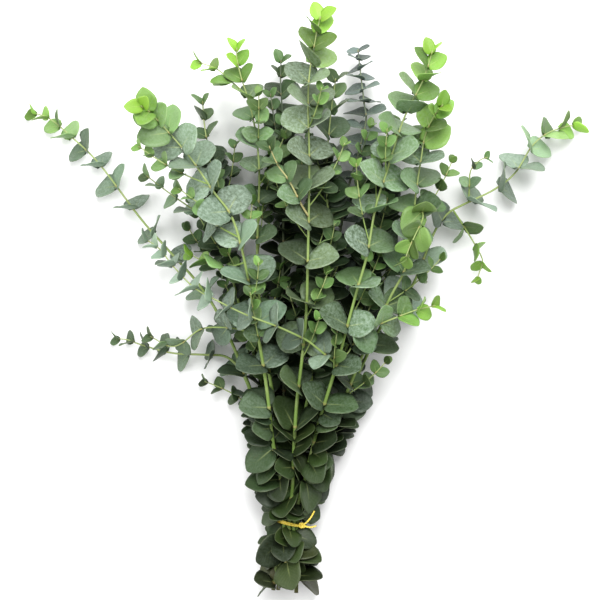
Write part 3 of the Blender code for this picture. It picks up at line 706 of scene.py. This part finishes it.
cord_mesh = bmesh.new()
twisted(cord_mesh, around(len(WINDINGS)))
middle = (Vector(KNOT[1]) + Vector(KNOT[2])) / 2
curl = []
for i in range(CURL_TURNS * CURL_STEPS + 1):
    angle = 2 * math.pi * i / CURL_STEPS
    curl.append(middle + Vector((CURL_START + CURL_PITCH * i, 0, 0))
                + CURL * Vector((math.cos(angle), math.sin(angle), math.sin(angle / 2))))
twisted(cord_mesh, curl)
for route in ENDS:
    twisted(cord_mesh, route)
bmesh.ops.recalc_face_normals(cord_mesh, faces=cord_mesh.faces)
finished("twisted_cord", cord_mesh, [cord_paint], "tie")
cords = [winding(offset, tilt) for offset, tilt in WINDINGS]
cords += [cord(KNOT, KNOT_RADIUS)] + [cord(route, WIRE) for route in ENDS]


# The leaves sit in opposite pairs straight on the stem, each pair square to the last: small and
# yellow-green at the tips, then round and grey-green with a waxy bloom. A blade is a grid that takes
# the solid leaf's form, with its lobes, its folded midrib and a waved edge.

# The solid leaf's outline, as (along, across), with the length and half the width as units.
ROOT = -0.1  # where a leaf begins inside its stem, in stem radii from the axis
NECK = 0.4  # half the width of a leaf where it leaves the stem, in stem radii
STAND_OFF = 1.12  # where its blade begins, in stem radii
BASE = (0.13, 0.80)
SHOULDER = (0.62, 0.93)
RIB = (0.13, 0.60)  # where the two points on the midrib lie
SMALL_RIB = 0.42  # where a small leaf's only one lies
LEAF_WIDTH = 1.04  # width of a full-grown leaf over its length
YOUNG_WIDTH = 0.80
LEAF_THICK = 0.9
CUP = 0.11  # how far the edges rise, over the width
DROOP = 0.10  # how far the tip bends back, over the length
SMALL_LEAF = 20.0  # shorter leaves have the plainest outline
MIDDLE_LEAF = 29.5  # and those up to here a plain one
MIDDLE_WIDEST = (0.36, 1.0)
CLEAR = 0.35  # kept free round every leaf
DEEPEST = -5.0  # a leaf may bend this much where it meets the table
PAIR_TURN = 90.0
LEAF_SEED = 100
TURN_SPREAD = 9.0
TIP_LEAF = 0.54  # a leaf at the tip, over the shoot's largest
GROWN_AT = 85.0  # distance from the tip where the leaves are full size
LENGTH_SPREAD = (0.88, 1.06)
TIP_LIFT = 50.0
GROWN_LIFT = 24.0
LIFT_SPREAD = (-8.0, 10.0)
STEEPEST = 68.0
FACE_LIMIT = math.radians(85)  # the most that a blade twists to face the sky
FACE_SPREAD = (0.4, 1.25)
BUNDLE_LEAF = 0.98  # length of its leaves, over their size elsewhere
BUNDLE_FAN = (32.0, 82.0)  # how far each of a pair turns from straight outward
BUNDLE_LIFT = (-64.0, 16.0)  # most droop towards the cut ends
BUNDLE_ROLL = (-48.0, 48.0)  # and turn about their own midrib
PAST_CUT = -333.0  # and reach no further than this

# No leaf crosses the space in front of the tie, from one corner to the other.
SIGHT = ((-31.0, -246.5, 44.0), (2.0, -238.0, 120.0))

# Nor does one cross the space over these stretches of the front stems, from one y to another.
BARE = {"stem_centre": (-212.0, -96.0), "stem_left": (-172.0, -90.0), "stem_right": (-168.0, -96.0)}
BARE_SPACE = (3.6, 75.0)  # heights of that space over a stem's axis

# A leaf that would touch another is turned, lifted or made smaller, in this order.
TURNS = (0, 16, -16, 34, -34, 54, -54, 78, -78, 104, -104)
LIFTS = (0, 14, -14, 28)
SHRINKS = (1.0, 0.84, 0.68)
NEARBY = 0.75  # a leaf's reach from its middle, over its length
SEARCH = 1.2  # how far round a foot its neighbours are looked for, over the leaf's length

Leaf = namedtuple("Leaf", "root foot along across normal length width radius")


def leaf_at(foot, direction, azimuth, lift, face, roll, length, width, radius):
    """A leaf's own axes: it stands out at an azimuth, lifted to the tip, and turns to the light."""
    side, above = across_frame(direction)
    outward = math.cos(azimuth) * side + math.sin(azimuth) * above
    along = math.cos(lift) * outward + math.sin(lift) * direction
    normal = math.cos(lift) * direction - math.sin(lift) * outward
    across = along.cross(normal)
    wanted = math.atan2(across.z, normal.z)
    wanted = max(-FACE_LIMIT, min(FACE_LIMIT, wanted))
    twist = roll + face * math.sqrt(abs(math.cos(azimuth))) * wanted
    normal, across = (math.cos(twist) * normal + math.sin(twist) * across,
                      math.cos(twist) * across - math.sin(twist) * normal)
    start = foot + outward * (STAND_OFF * radius)
    root = start - along * ((STAND_OFF - ROOT) * radius / math.cos(lift))
    return Leaf(root, start, along, across, normal, length, width, radius)


def on_blade(leaf, u, v, offset=0.0):
    """A point of the blade: u along and v across it, offset from its middle surface."""
    rise = CUP * leaf.width * v * v - DROOP * leaf.length * u * u + offset
    return (leaf.foot + leaf.along * (u * leaf.length) + leaf.across * (v * leaf.width / 2)
            + leaf.normal * rise)


def skyward(leaf):
    """The blade's normal on the side that faces up."""
    return leaf.normal if leaf.normal.z >= 0 else -leaf.normal


def on_table(leaf, point, height=0.0):
    """The point, or where it comes to lie when the leaf bends flat along the table."""
    if point.z >= height:
        return point
    up = skyward(leaf)
    slip = (height - point.z) / (1 + up.z)
    return Vector((point.x + up.x * slip, point.y + up.y * slip, height))


def outline(leaf):
    """The rim of a leaf from beside its root, round the tip and back."""
    neck = (0.0, 2 * NECK * leaf.radius / leaf.width)
    half = [neck, BASE, SHOULDER]
    if leaf.length < SMALL_LEAF:
        half = [MIDDLE_WIDEST]
    elif leaf.length < MIDDLE_LEAF:
        half = [neck, MIDDLE_WIDEST]
    return [(u, -v) for u, v in half] + [(1.0, 0.0)] + [(u, v) for u, v in reversed(half)]


def faces_of(leaf):
    """One face of the blade, as triangles over the root, the rim and the midrib."""
    if leaf.length < SMALL_LEAF:
        return [(1, 0, 4), (2, 1, 4), (3, 2, 4), (0, 3, 4)]
    if leaf.length < MIDDLE_LEAF:
        return [(1, 0, 6), (2, 1, 6), (7, 2, 6), (3, 2, 7), (4, 3, 7), (6, 4, 7), (5, 4, 6),
                (0, 5, 6)]
    return [(1, 0, 8), (2, 1, 8), (3, 2, 8), (9, 3, 8), (4, 3, 9), (5, 4, 9), (8, 5, 9),
            (6, 5, 8), (7, 6, 8), (0, 7, 8)]


def ribs_of(leaf):
    if leaf.length < SMALL_LEAF:
        return [(SMALL_RIB, 0.0)]
    return [(RIB[0], 0.0), (RIB[1], 0.0)]


def blade(leaf):
    """Points and triangles of a closed blade, thick at the midrib and sharp at the rim."""
    rim = outline(leaf)
    ribs = ribs_of(leaf)
    half = LEAF_THICK / 2
    points = [leaf.root] + [on_table(leaf, on_blade(leaf, u, v)) for u, v in rim]
    middles = [on_table(leaf, on_blade(leaf, u, v), half) for u, v in ribs]
    offsets = [half * (UP if p.z == half else skyward(leaf)) for p in middles]
    if leaf.normal.z < 0:
        offsets = [-offset for offset in offsets]
    points += [p + offset for p, offset in zip(middles, offsets)]
    points += [p - offset for p, offset in zip(middles, offsets)]
    shift = len(ribs)
    first = 1 + len(rim)
    over = faces_of(leaf)
    under = [tuple(i + shift if i >= first else i for i in reversed(f)) for f in over]
    return points, over + under


def guard(leaf):
    """A slab round the free part of the blade, which must be clear of all that is placed."""
    grow = 1 + 2 * CLEAR / leaf.length
    thick = LEAF_THICK / 2 + CLEAR
    rim = [(-leaf.radius / leaf.length, 0.0)] + outline(leaf)
    flat = [(u * grow, v * grow) for u, v in rim + ribs_of(leaf)]
    points = [on_blade(leaf, u, v, thick) for u, v in flat]
    points += [on_blade(leaf, u, v, -thick) for u, v in flat]
    count = len(flat)
    top = faces_of(leaf)
    faces = top + [tuple(i + count for i in reversed(f)) for f in top]
    edge = len(rim)
    for i in range(edge):
        j = (i + 1) % edge
        faces.append((j, i, i + count, j + count))
    return points, faces


def solid_of(leaf):
    """A placed leaf as the rule looks it up: its middle, its reach and its faces."""
    points, faces = blade(leaf)
    middle = leaf.foot + leaf.along * (leaf.length / 2)
    return middle, leaf.length * NEARBY, BVHTree.FromPolygons(points, faces)


def clear_leaf(number, blocked, placed, foot, direction, azimuth, pitch, face, roll, length,
               wide, radius):
    """The first of the leaf's poses that touches nothing but its own shoot, or None."""
    for shrink in SHRINKS:
        size = length * shrink
        near = [tree for middle, reach, tree in placed
                if (middle - foot).length < reach + size * SEARCH]
        near += [tree for key, tree in blocked.items() if key != number]
        for lift in LIFTS:
            for turn in TURNS:
                leaf = leaf_at(foot, direction, azimuth + math.radians(turn),
                               math.radians(min(pitch + lift, STEEPEST)), face, roll, size,
                               size * wide, radius)
                points, faces = guard(leaf)
                if min(p.z for p in points) < DEEPEST or min(p.y for p in points) < PAST_CUT:
                    continue
                tree = BVHTree.FromPolygons(points, faces)
                if not any(tree.overlap(other) for other in near):
                    return leaf
    return None


def box(low, high):
    """An upright box between two corners."""
    points = [Vector((x, y, z)) for x in (low[0], high[0]) for y in (low[1], high[1])
              for z in (low[2], high[2])]
    return points, [(0, 1, 3, 2), (4, 6, 7, 5), (0, 4, 5, 1), (2, 3, 7, 6), (0, 2, 6, 4), (1, 5, 7, 3)]


def ribbon(course, low, high):
    """An upright ribbon over a stretch of a stem."""
    stretch = [course.at(s)[0] for s in range(int(course.length))]
    stretch = [p for p in stretch if low < p.y < high]
    points = [p + UP * height for p in stretch for height in BARE_SPACE]
    return points, [(i, i + 1, i + 3, i + 2) for i in range(0, len(points) - 2, 2)]


# The leaves' greens. Each shoot has its own: young at its tip, grown further down, and how much bloom
# it carries. Further down and inside the bunch they are darkened with painted shade, and browned near
# the cut ends.
FRESH = (0.215, 0.42, 0.058)
GREEN = (0.105, 0.195, 0.075)
# a deep green, partly painted shade, for the grown leaves of the rear stems that lie underneath
DEEP_GREEN_AND_SHADE = (0.028, 0.060, 0.022)
GREY = (0.155, 0.24, 0.155)
LEAFY = (0.17, 0.30, 0.08)
OLIVE = (0.105, 0.155, 0.068)
PALE = (0.24, 0.335, 0.25)
BLUE = (0.13, 0.18, 0.17)
Tint = namedtuple("Tint", "young grown bloom")
REAR_TINT_AND_SHADE = Tint(GREEN, DEEP_GREEN_AND_SHADE, 0.25)  # all the rear stems share it; its deep green is partly painted shade, as they lie underneath
TINTS = [
    Tint(FRESH, OLIVE, 0.65), Tint(GREEN, GREEN, 0.8), Tint(FRESH, GREY, 0.95), Tint(GREEN, GREY, 0.9),
    Tint(FRESH, GREY, 0.9), Tint(GREEN, GREY, 0.9), Tint(FRESH, GREEN, 0.8), Tint(PALE, PALE, 0.9),
    Tint(FRESH, GREEN, 0.85), Tint(GREEN, GREEN, 0.7), Tint(FRESH, GREEN, 0.7), Tint(LEAFY, LEAFY, 0.3),
    Tint(FRESH, GREEN, 0.5), Tint(FRESH, LEAFY, 0.4), REAR_TINT_AND_SHADE, Tint(FRESH, GREY, 0.7),
    Tint(FRESH, PALE, 0.9), Tint(GREEN, GREY, 0.6), Tint(FRESH, GREEN, 0.5), Tint(GREEN, GREY, 0.8),
    Tint(GREEN, GREY, 0.7), Tint(BLUE, BLUE, 0.8), Tint(GREEN, BLUE, 0.7), REAR_TINT_AND_SHADE, REAR_TINT_AND_SHADE,
    REAR_TINT_AND_SHADE]
TWIG_TINT = Tint(mixed(GREEN, FRESH, 0.3), GREEN, 0.6)
REAR_STEMS = ("stem_middle", "stem_dark", "stem_thin", "stem_rear")
SHADE_FROM = 30.0  # down the bundle the leaves are darkened to a deep green, a painted shade
SHADE_TO = -150.0
SHADED = (0.019, 0.040, 0.006)
WILT_FROM = -255.0  # and some are browned near the cut ends
WILT_TO = -320.0
WILTED = (0.090, 0.066, 0.034)
DULL = (0.45, 1.42)  # the spread of brightness between leaves
WARM = 0.15  # and how far some lean to yellow
YELLOWED = (0.95, 0.6)  # red over green, and blue over its own
INNER_TOP = 125.0  # the leaves low down inside the bunch get painted shade too
INNER_HALF = 150.0
DOWN_SHADE_SHARE = 0.9
INNER_SHADE_SHARE = 0.85
WILT_SHARE = (0.0, 0.9)
SHADE_BARE_WAX = 0.92  # how much of the bloom the painted shade takes from the deepest leaves
WAX_SPREAD = (0.25, 1.4)
RIPENING = 1.4  # how long the leaves stay young
RIPENED = 1.15

# Where the solids leave room, the finer bunch also has small side twigs, grown from the same stems with
# two to four pairs of small leaves, and smaller pairs between the others.
TWIG_RADIUS = 0.9
TWIG_LEAF = 21.0
TWIG_LENGTH = (48.0, 92.0)
TWIG_FROM = (105.0, 380.0)  # distances from a stem's tip
TWIG_GAP = 46.0
REAR_GAP = 30.0  # and on the rear stems
TWIG_SPREAD = (26.0, 48.0)
TWIG_TRIES = 7
TWIG_SEED = 7
TWIG_TURNS = (0, 90)
TWIG_LOWEST = 1.0
TWIG_STEPS = 4  # points on a twig after its foot
TWIG_UPTURN = 0.12  # how much of its slant it loses by each
TWIG_FACE = 0.8
TWIG_SPACING = 1.1
GAP_SPREAD = (0.7, 1.3)
BARE_STEMS = ("stem_far_left", "stem_far_right", "stem_lower_left")  # the spread ones have none
BETWEEN_GAP = 27.0  # pairs further apart than this get one between them
BETWEEN_LEAF = 0.8
BETWEEN_SHARES = (0.5, 0.25, 0.75)  # places between two pairs
BETWEEN_ALL = -90.0  # on every stem below this, and on the rear ones all the way
BETWEEN_SEED = 500


def pair_of(number, shoot, course, main, s, turn, scale, draw, blocked, placed):
    """The leaves of a pair at the distance s from the tip that find a clear place, with their age."""
    foot, direction = course.at(course.length - s)
    radius = radius_at(shoot, main, course, course.length - s)
    age = min(1.0, s / GROWN_AT)
    grown = TIP_LEAF + (1 - TIP_LEAF) * math.sin(age * math.pi / 2)
    lift = shoot.lift * (TIP_LIFT + (GROWN_LIFT - TIP_LIFT) * age)
    turn += draw.uniform(-TURN_SPREAD, TURN_SPREAD)
    found = []
    for side in (0, 1):
        azimuth = math.radians(turn) + math.pi * side
        pitch = lift + draw.uniform(*LIFT_SPREAD)
        roll = 0.0
        length = shoot.leaf * grown * draw.uniform(*LENGTH_SPREAD)
        if main and foot.y < BUNDLE_TOP:
            centre = TIE_CENTRE + Vector((0, foot.y - TIE_Y, 0))
            out = foot - centre
            right, above = across_frame(direction)
            azimuth = math.atan2(out.dot(above), out.dot(right))
            azimuth += math.radians(draw.uniform(*BUNDLE_FAN) * (1 - 2 * side))
            pitch = draw.uniform(*BUNDLE_LIFT)
            roll = math.radians(draw.uniform(*BUNDLE_ROLL))
            length *= BUNDLE_LEAF
        wide = YOUNG_WIDTH + (LEAF_WIDTH - YOUNG_WIDTH) * age
        face = shoot.face * draw.uniform(*FACE_SPREAD)
        leaf = clear_leaf(number, blocked, placed, foot, direction, azimuth, pitch, face, roll,
                          length * scale, wide, radius)
        if leaf:
            found.append((number, leaf, age))
            placed.append(solid_of(leaf))
    return found


def twig_route(course, s, draw):
    """A short side shoot that leaves its stem at a slant and curves up towards the stem's tip."""
    foot, direction = course.at(course.length - s)
    right, above = across_frame(direction)
    azimuth = draw.uniform(0, 2 * math.pi)
    out = math.cos(azimuth) * right + math.sin(azimuth) * above
    slant = math.radians(draw.uniform(*TWIG_SPREAD))
    length = draw.uniform(*TWIG_LENGTH)
    route = [foot]
    for step in range(1, TWIG_STEPS + 1):
        lean = slant * (1 - TWIG_UPTURN * step)
        stretch = math.cos(lean) * direction + math.sin(lean) * out
        route.append(route[-1] + stretch * length / TWIG_STEPS)
    return route


shoots = shoot_courses()
curves = {}
blocked = {}
for number, (shoot, course, is_main) in enumerate(shoots):
    marks = [course.length - s for s in stations(course, is_main, shoot.spacing)]
    curves[number] = (course, marks)
    stops = tube_stops(course, is_main, marks)
    radii = [radius_at(shoot, is_main, course, s) for s in stops]
    blocked[number] = BVHTree.FromPolygons(*tube(course, radii, stops, math.radians(shoot.turn)))
    shoots[number] = (shoot, straightened(course, stops), is_main)
    if is_main and shoot.node in BARE:
        blocked["over", number] = BVHTree.FromPolygons(*ribbon(course, *BARE[shoot.node]))
for i, solid in enumerate(cords):
    blocked["cord", i] = BVHTree.FromPolygons(*solid)
blocked["sight"] = BVHTree.FromPolygons(*box(*SIGHT))

placed = []
leaves = []
for number, (shoot, course, is_main) in enumerate(shoots):
    draw = random.Random(LEAF_SEED + number)
    for pair, s in enumerate(stations(course, is_main, shoot.spacing)):
        leaves += pair_of(number, shoot, course, is_main, s, shoot.turn + PAIR_TURN * pair, 1.0, draw,
                          blocked, placed)

draw = random.Random(TWIG_SEED)
stems = [(number, *entry) for number, entry in enumerate(shoots) if entry[2]]
for parent, shoot, course, is_main in stems:
    s = draw.uniform(TWIG_FROM[0], TWIG_FROM[0] + TWIG_GAP)
    while s < min(TWIG_FROM[1], course.length - THICK_REACH) and shoot.node not in BARE_STEMS:
        for attempt in range(TWIG_TRIES):
            line = Course(smooth(twig_route(course, s, draw)))
            turn = draw.uniform(*TWIG_TURNS)
            twig = Shoot(shoot.node, TWIG_RADIUS, TWIG_LEAF, turn, TWIG_FACE, TWIG_SPACING, [])
            marks = [line.length - t for t in stations(line, False, twig.spacing)]
            stops = tube_stops(line, False, marks)
            radii = [radius_at(twig, False, line, t) for t in stops]
            points, faces = tube(line, radii, stops, 0.0)
            tree = BVHTree.FromPolygons(points, faces)
            near = [other for key, other in blocked.items() if key != parent]
            middle = line.at(line.length / 2)[0]
            near += [other for centre, reach, other in placed
                     if (centre - middle).length < reach + line.length / 2]
            raised = min(p.z for p in points) > TWIG_LOWEST
            if raised and not any(tree.overlap(other) for other in near):
                number = len(shoots)
                shoots.append((twig, straightened(line, stops), False))
                curves[number] = (line, marks)
                blocked[number] = tree
                for pair, t in enumerate(stations(line, False, twig.spacing)):
                    leaves += pair_of(number, twig, shoots[number][1], False, t,
                                      twig.turn + PAIR_TURN * pair, 1.0, draw, blocked, placed)
                break
        s += (REAR_GAP if shoot.node in REAR_STEMS else TWIG_GAP) * draw.uniform(*GAP_SPREAD)

for number, (shoot, course, is_main) in enumerate(shoots[:len(SHOOTS)]):
    draw = random.Random(BETWEEN_SEED + number)
    places = stations(course, is_main, shoot.spacing)
    for pair, (s, after) in enumerate(zip(places, places[1:])):
        low = course.at(course.length - s)[0].y < BETWEEN_ALL
        if after - s > BETWEEN_GAP and (low or shoot.node in REAR_STEMS):
            for share in BETWEEN_SHARES:
                turn = shoot.turn + PAIR_TURN * (pair + share)
                leaves += pair_of(number, shoot, course, is_main, s + (after - s) * share, turn,
                                  BETWEEN_LEAF, draw, blocked, placed)

# The leaf's surface: a waxy bloom over green in patches, a pale folded midrib, faint side veins, a thin
# pale margin and a few dark specks.
BLOOM = (0.42, 0.52, 0.44, 1.0)
RIB_PALE = (0.50, 0.56, 0.24, 1.0)
MARGIN = (0.38, 0.40, 0.22, 1.0)
SPECK = (0.10, 0.07, 0.03, 1.0)
DUSTED = (0.6, 0.6, 0.6, 1.0)
SIDE_VEINS = 9.0  # along a leaf's length
VEIN_SLANT = 0.42
LEAF_DEPTH = 0.0004
leaf_skin, leaf_shader, leaf_place = new_paint("waxy_leaf", {"Specular IOR Level": 0.4})
leaf_hue_and_shade = leaf_place.node("Attribute", {"attribute_name": "leaf_green_and_shade"}, {})
waxy = leaf_place.node("Attribute", {"attribute_name": "bloom"}, {}, 2)
leaf_map = leaf_place.node("UVMap", {"uv_map": "blade"}, {})
across = abs(leaf_map.node("SeparateXYZ", {}, {0: leaf_map}) * 2.0 - 1.0)
along = leaf_map.node("SeparateXYZ", {}, {0: leaf_map}, 1)
mottle = leaf_place.noise(320.0, 7.0, 0.68)
dust = leaf_place.noise(1400.0, 3.0, 0.6)
rib = across.step(0.08, 0.015) * along.step(0.70, 0.0)
vein_way = (along - across * VEIN_SLANT) * SIDE_VEINS
vein = abs(vein_way.math("FRACT", vein_way) - 0.5).step(0.10, 0.0) * across.step(0.95, 0.6)
margin = across.step(0.96, 1.0)
wax = mottle.step(0.27, 0.75) * waxy
speck = leaf_place.noise(420.0, 2.0).step(0.70, 0.76)
tone = leaf_hue_and_shade.tinted(dust.step(0.35, 0.70) * 0.45, DUSTED, "MULTIPLY")
for share, colour in ((wax * 0.76, BLOOM), (vein * 0.05, RIB_PALE), (rib * 0.34, RIB_PALE),
                      (margin * 0.16, MARGIN), (speck * 0.55, SPECK)):
    tone = tone.tinted(share, colour)
wire_up(leaf_shader, {"Base Color": tone, "Roughness": wax * 0.25 + dust * 0.12 + 0.38},
        dust * 0.25 + mottle * 0.5 - rib * 0.6 - vein * 0.15, LEAF_DEPTH)

# A blade's grid: its rows along the leaf, the first one at the root, and its columns across.
ROWS = (None, 0.0, 0.035, 0.12, 0.26, 0.43, 0.60, 0.76, 0.89, 0.97, 1.0)
COLUMNS = 6
WIDEST = 0.42  # where along it the blade is widest
LOBE = 0.17  # how far the lobes at its base reach back
LOBE_END = 0.35
LOBE_BEND = 0.8  # of half a wave, from the midrib to the rim
BASE_ROUND = 2.6
TIP_ROUND = 1.9
TIP_BLUNT = 0.72
FOLD = 0.6  # how far its halves are flat and folded, not curved
WAVE = 0.020
WAVES = 1.2  # along the leaf
UNEVEN = 0.07  # how much the outline strays from its even form, over half the width
UNEVEN_WAVES = 1.1
LOPSIDED = 2.2
THICKNESS = 0.0006
LIE = 0.3  # height of a blade's middle surface where it lies on the table


def half_width(u):
    """Half the blade's width at u, over its most: round at the base, with a short blunt tip."""
    if u < WIDEST:
        return math.sqrt(max(0.0, 1 - ((WIDEST - u) / WIDEST) ** BASE_ROUND))
    return (1 - ((u - WIDEST) / (1 - WIDEST)) ** TIP_ROUND) ** TIP_BLUNT if u < 1 else 0.0


leaf_mesh = bpy.data.meshes.new("blade")
sheet = bmesh.new()
sheet_map = sheet.loops.layers.uv.new("blade")
bmesh.ops.create_grid(sheet, x_segments=COLUMNS, y_segments=len(ROWS) - 1, size=1.0)
for vert in sheet.verts:
    vert.co.y = round((vert.co.y + 1) / 2 * (len(ROWS) - 1))
for face in sheet.faces:
    for loop in face.loops:
        row = ROWS[round(loop.vert.co.y)]
        loop[sheet_map].uv = ((loop.vert.co.x + 1) / 2, row or 0.0)
for end in (0, len(ROWS) - 1):
    row_verts = [vert for vert in sheet.verts if round(vert.co.y) == end]
    bmesh.ops.pointmerge(sheet, verts=row_verts, merge_co=Vector((0.0, end, 0.0)))
sheet.to_mesh(leaf_mesh)
sheet.free()


def blade_point(leaf, row, v, phase):
    """Where a point of the grid lies on a leaf."""
    if row == 0:
        return leaf.root
    u = ROWS[row]
    half = half_width(u)
    if row == 1:
        half = NECK * leaf.radius / (leaf.width / 2)
    side = LOPSIDED if v > 0 else 0.0
    half *= 1 + UNEVEN * math.sin(2 * math.pi * (UNEVEN_WAVES * u + phase) + side)
    edge = abs(v)
    back = 0.0
    if row > 1:
        back = LOBE * math.sin(math.pi * edge * LOBE_BEND) * max(0.0, 1 - u / LOBE_END)
    rise = CUP * leaf.width * half * half * (FOLD * edge + (1 - FOLD) * edge * edge)
    rise -= DROOP * leaf.length * u * u
    wave = math.sin(2 * math.pi * (WAVES * u + phase) + 2 * v)
    rise += WAVE * leaf.length * edge * edge * half * wave
    point = (leaf.foot + leaf.along * ((u - back) * leaf.length)
             + leaf.across * (v * half * leaf.width / 2) + leaf.normal * rise)
    return on_table(leaf, point, LIE)


def leaf_green_and_shade(number, leaf, age, draw):
    """A leaf's green, darkened with painted shade down the bundle, low inside the bunch and on the rear
    stems, and its share of bloom.
    """
    tint = TINTS[number] if number < len(TINTS) else TWIG_TINT
    # the rear stems lie underneath the others, and their tint's deep green is partly painted shade
    if shoots[number][0].node in REAR_STEMS:
        tint = REAR_TINT_AND_SHADE
    colour = mixed(tint.young, tint.grown, min(1.0, age ** RIPENING * RIPENED))
    # Painted shade: the leaves further down the bundle, and those low down inside the bunch, are
    # darkened towards SHADED.
    down = min(1.0, max(0.0, (SHADE_FROM - leaf.foot.y) / (SHADE_FROM - SHADE_TO)))
    inner = max(0.0, 1 - leaf.foot.z / INNER_TOP) * max(0.0, 1 - abs(leaf.foot.x) / INNER_HALF) * age
    colour = mixed(colour, SHADED, max(DOWN_SHADE_SHARE * down, INNER_SHADE_SHARE * inner))
    yellowed = (colour[1] * YELLOWED[0], colour[1], colour[2] * YELLOWED[1])
    colour = mixed(colour, yellowed, draw.uniform(0, WARM))
    wilt = min(1.0, max(0.0, (WILT_FROM - leaf.foot.y) / (WILT_FROM - WILT_TO)))
    colour = mixed(colour, WILTED, wilt * draw.uniform(*WILT_SHARE))
    bright = draw.uniform(*DULL)
    # the painted shade also takes bloom away, so that the shaded leaves stay dark
    bloom = tint.bloom * age * (1 - SHADE_BARE_WAX * max(down, inner)) * draw.uniform(*WAX_SPREAD)
    return tuple(c * bright for c in colour), bloom


# Each stem's bark is one piece and its leaves are another, and both take the place of its solid. The
# leaves are copies of the one grid, and each gets its own form, green and bloom.
for node in STEMS:
    stem_mesh = bmesh.new()
    stem_mesh.verts.layers.float_color.new("bark")
    stem_mesh.verts.layers.float.new("knot")
    for number, (shoot, course, is_main) in enumerate(shoots):
        if shoot.node == node:
            line, marks = curves[number]
            swept_shoot(stem_mesh, number, shoot, line, is_main, marks)
    bmesh.ops.recalc_face_normals(stem_mesh, faces=stem_mesh.faces)
    finished(node + "_bark", stem_mesh, [bark, cut_wood], node)

    foliage = bmesh.new()
    foliage.loops.layers.uv.new("blade")
    hue = foliage.verts.layers.float_color.new("leaf_green_and_shade")
    wax_layer = foliage.verts.layers.float.new("bloom")
    draw = random.Random(node)
    size = len(leaf_mesh.vertices)
    for number, leaf, age in leaves:
        if shoots[number][0].node != node:
            continue
        foliage.from_mesh(leaf_mesh)
        foliage.verts.ensure_lookup_table()
        green, wax_share = leaf_green_and_shade(number, leaf, age, draw)
        phase = draw.random()
        for vert in foliage.verts[-size:]:
            vert.co = blade_point(leaf, round(vert.co.y), vert.co.x, phase)
            vert[hue] = (*green, 1.0)
            vert[wax_layer] = wax_share
    piece = finished(node + "_leaves", foliage, [leaf_skin], node)
    skin = piece.modifiers.new("thickness", "SOLIDIFY")
    skin.thickness = THICKNESS
    skin.offset = 0.0

low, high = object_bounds()
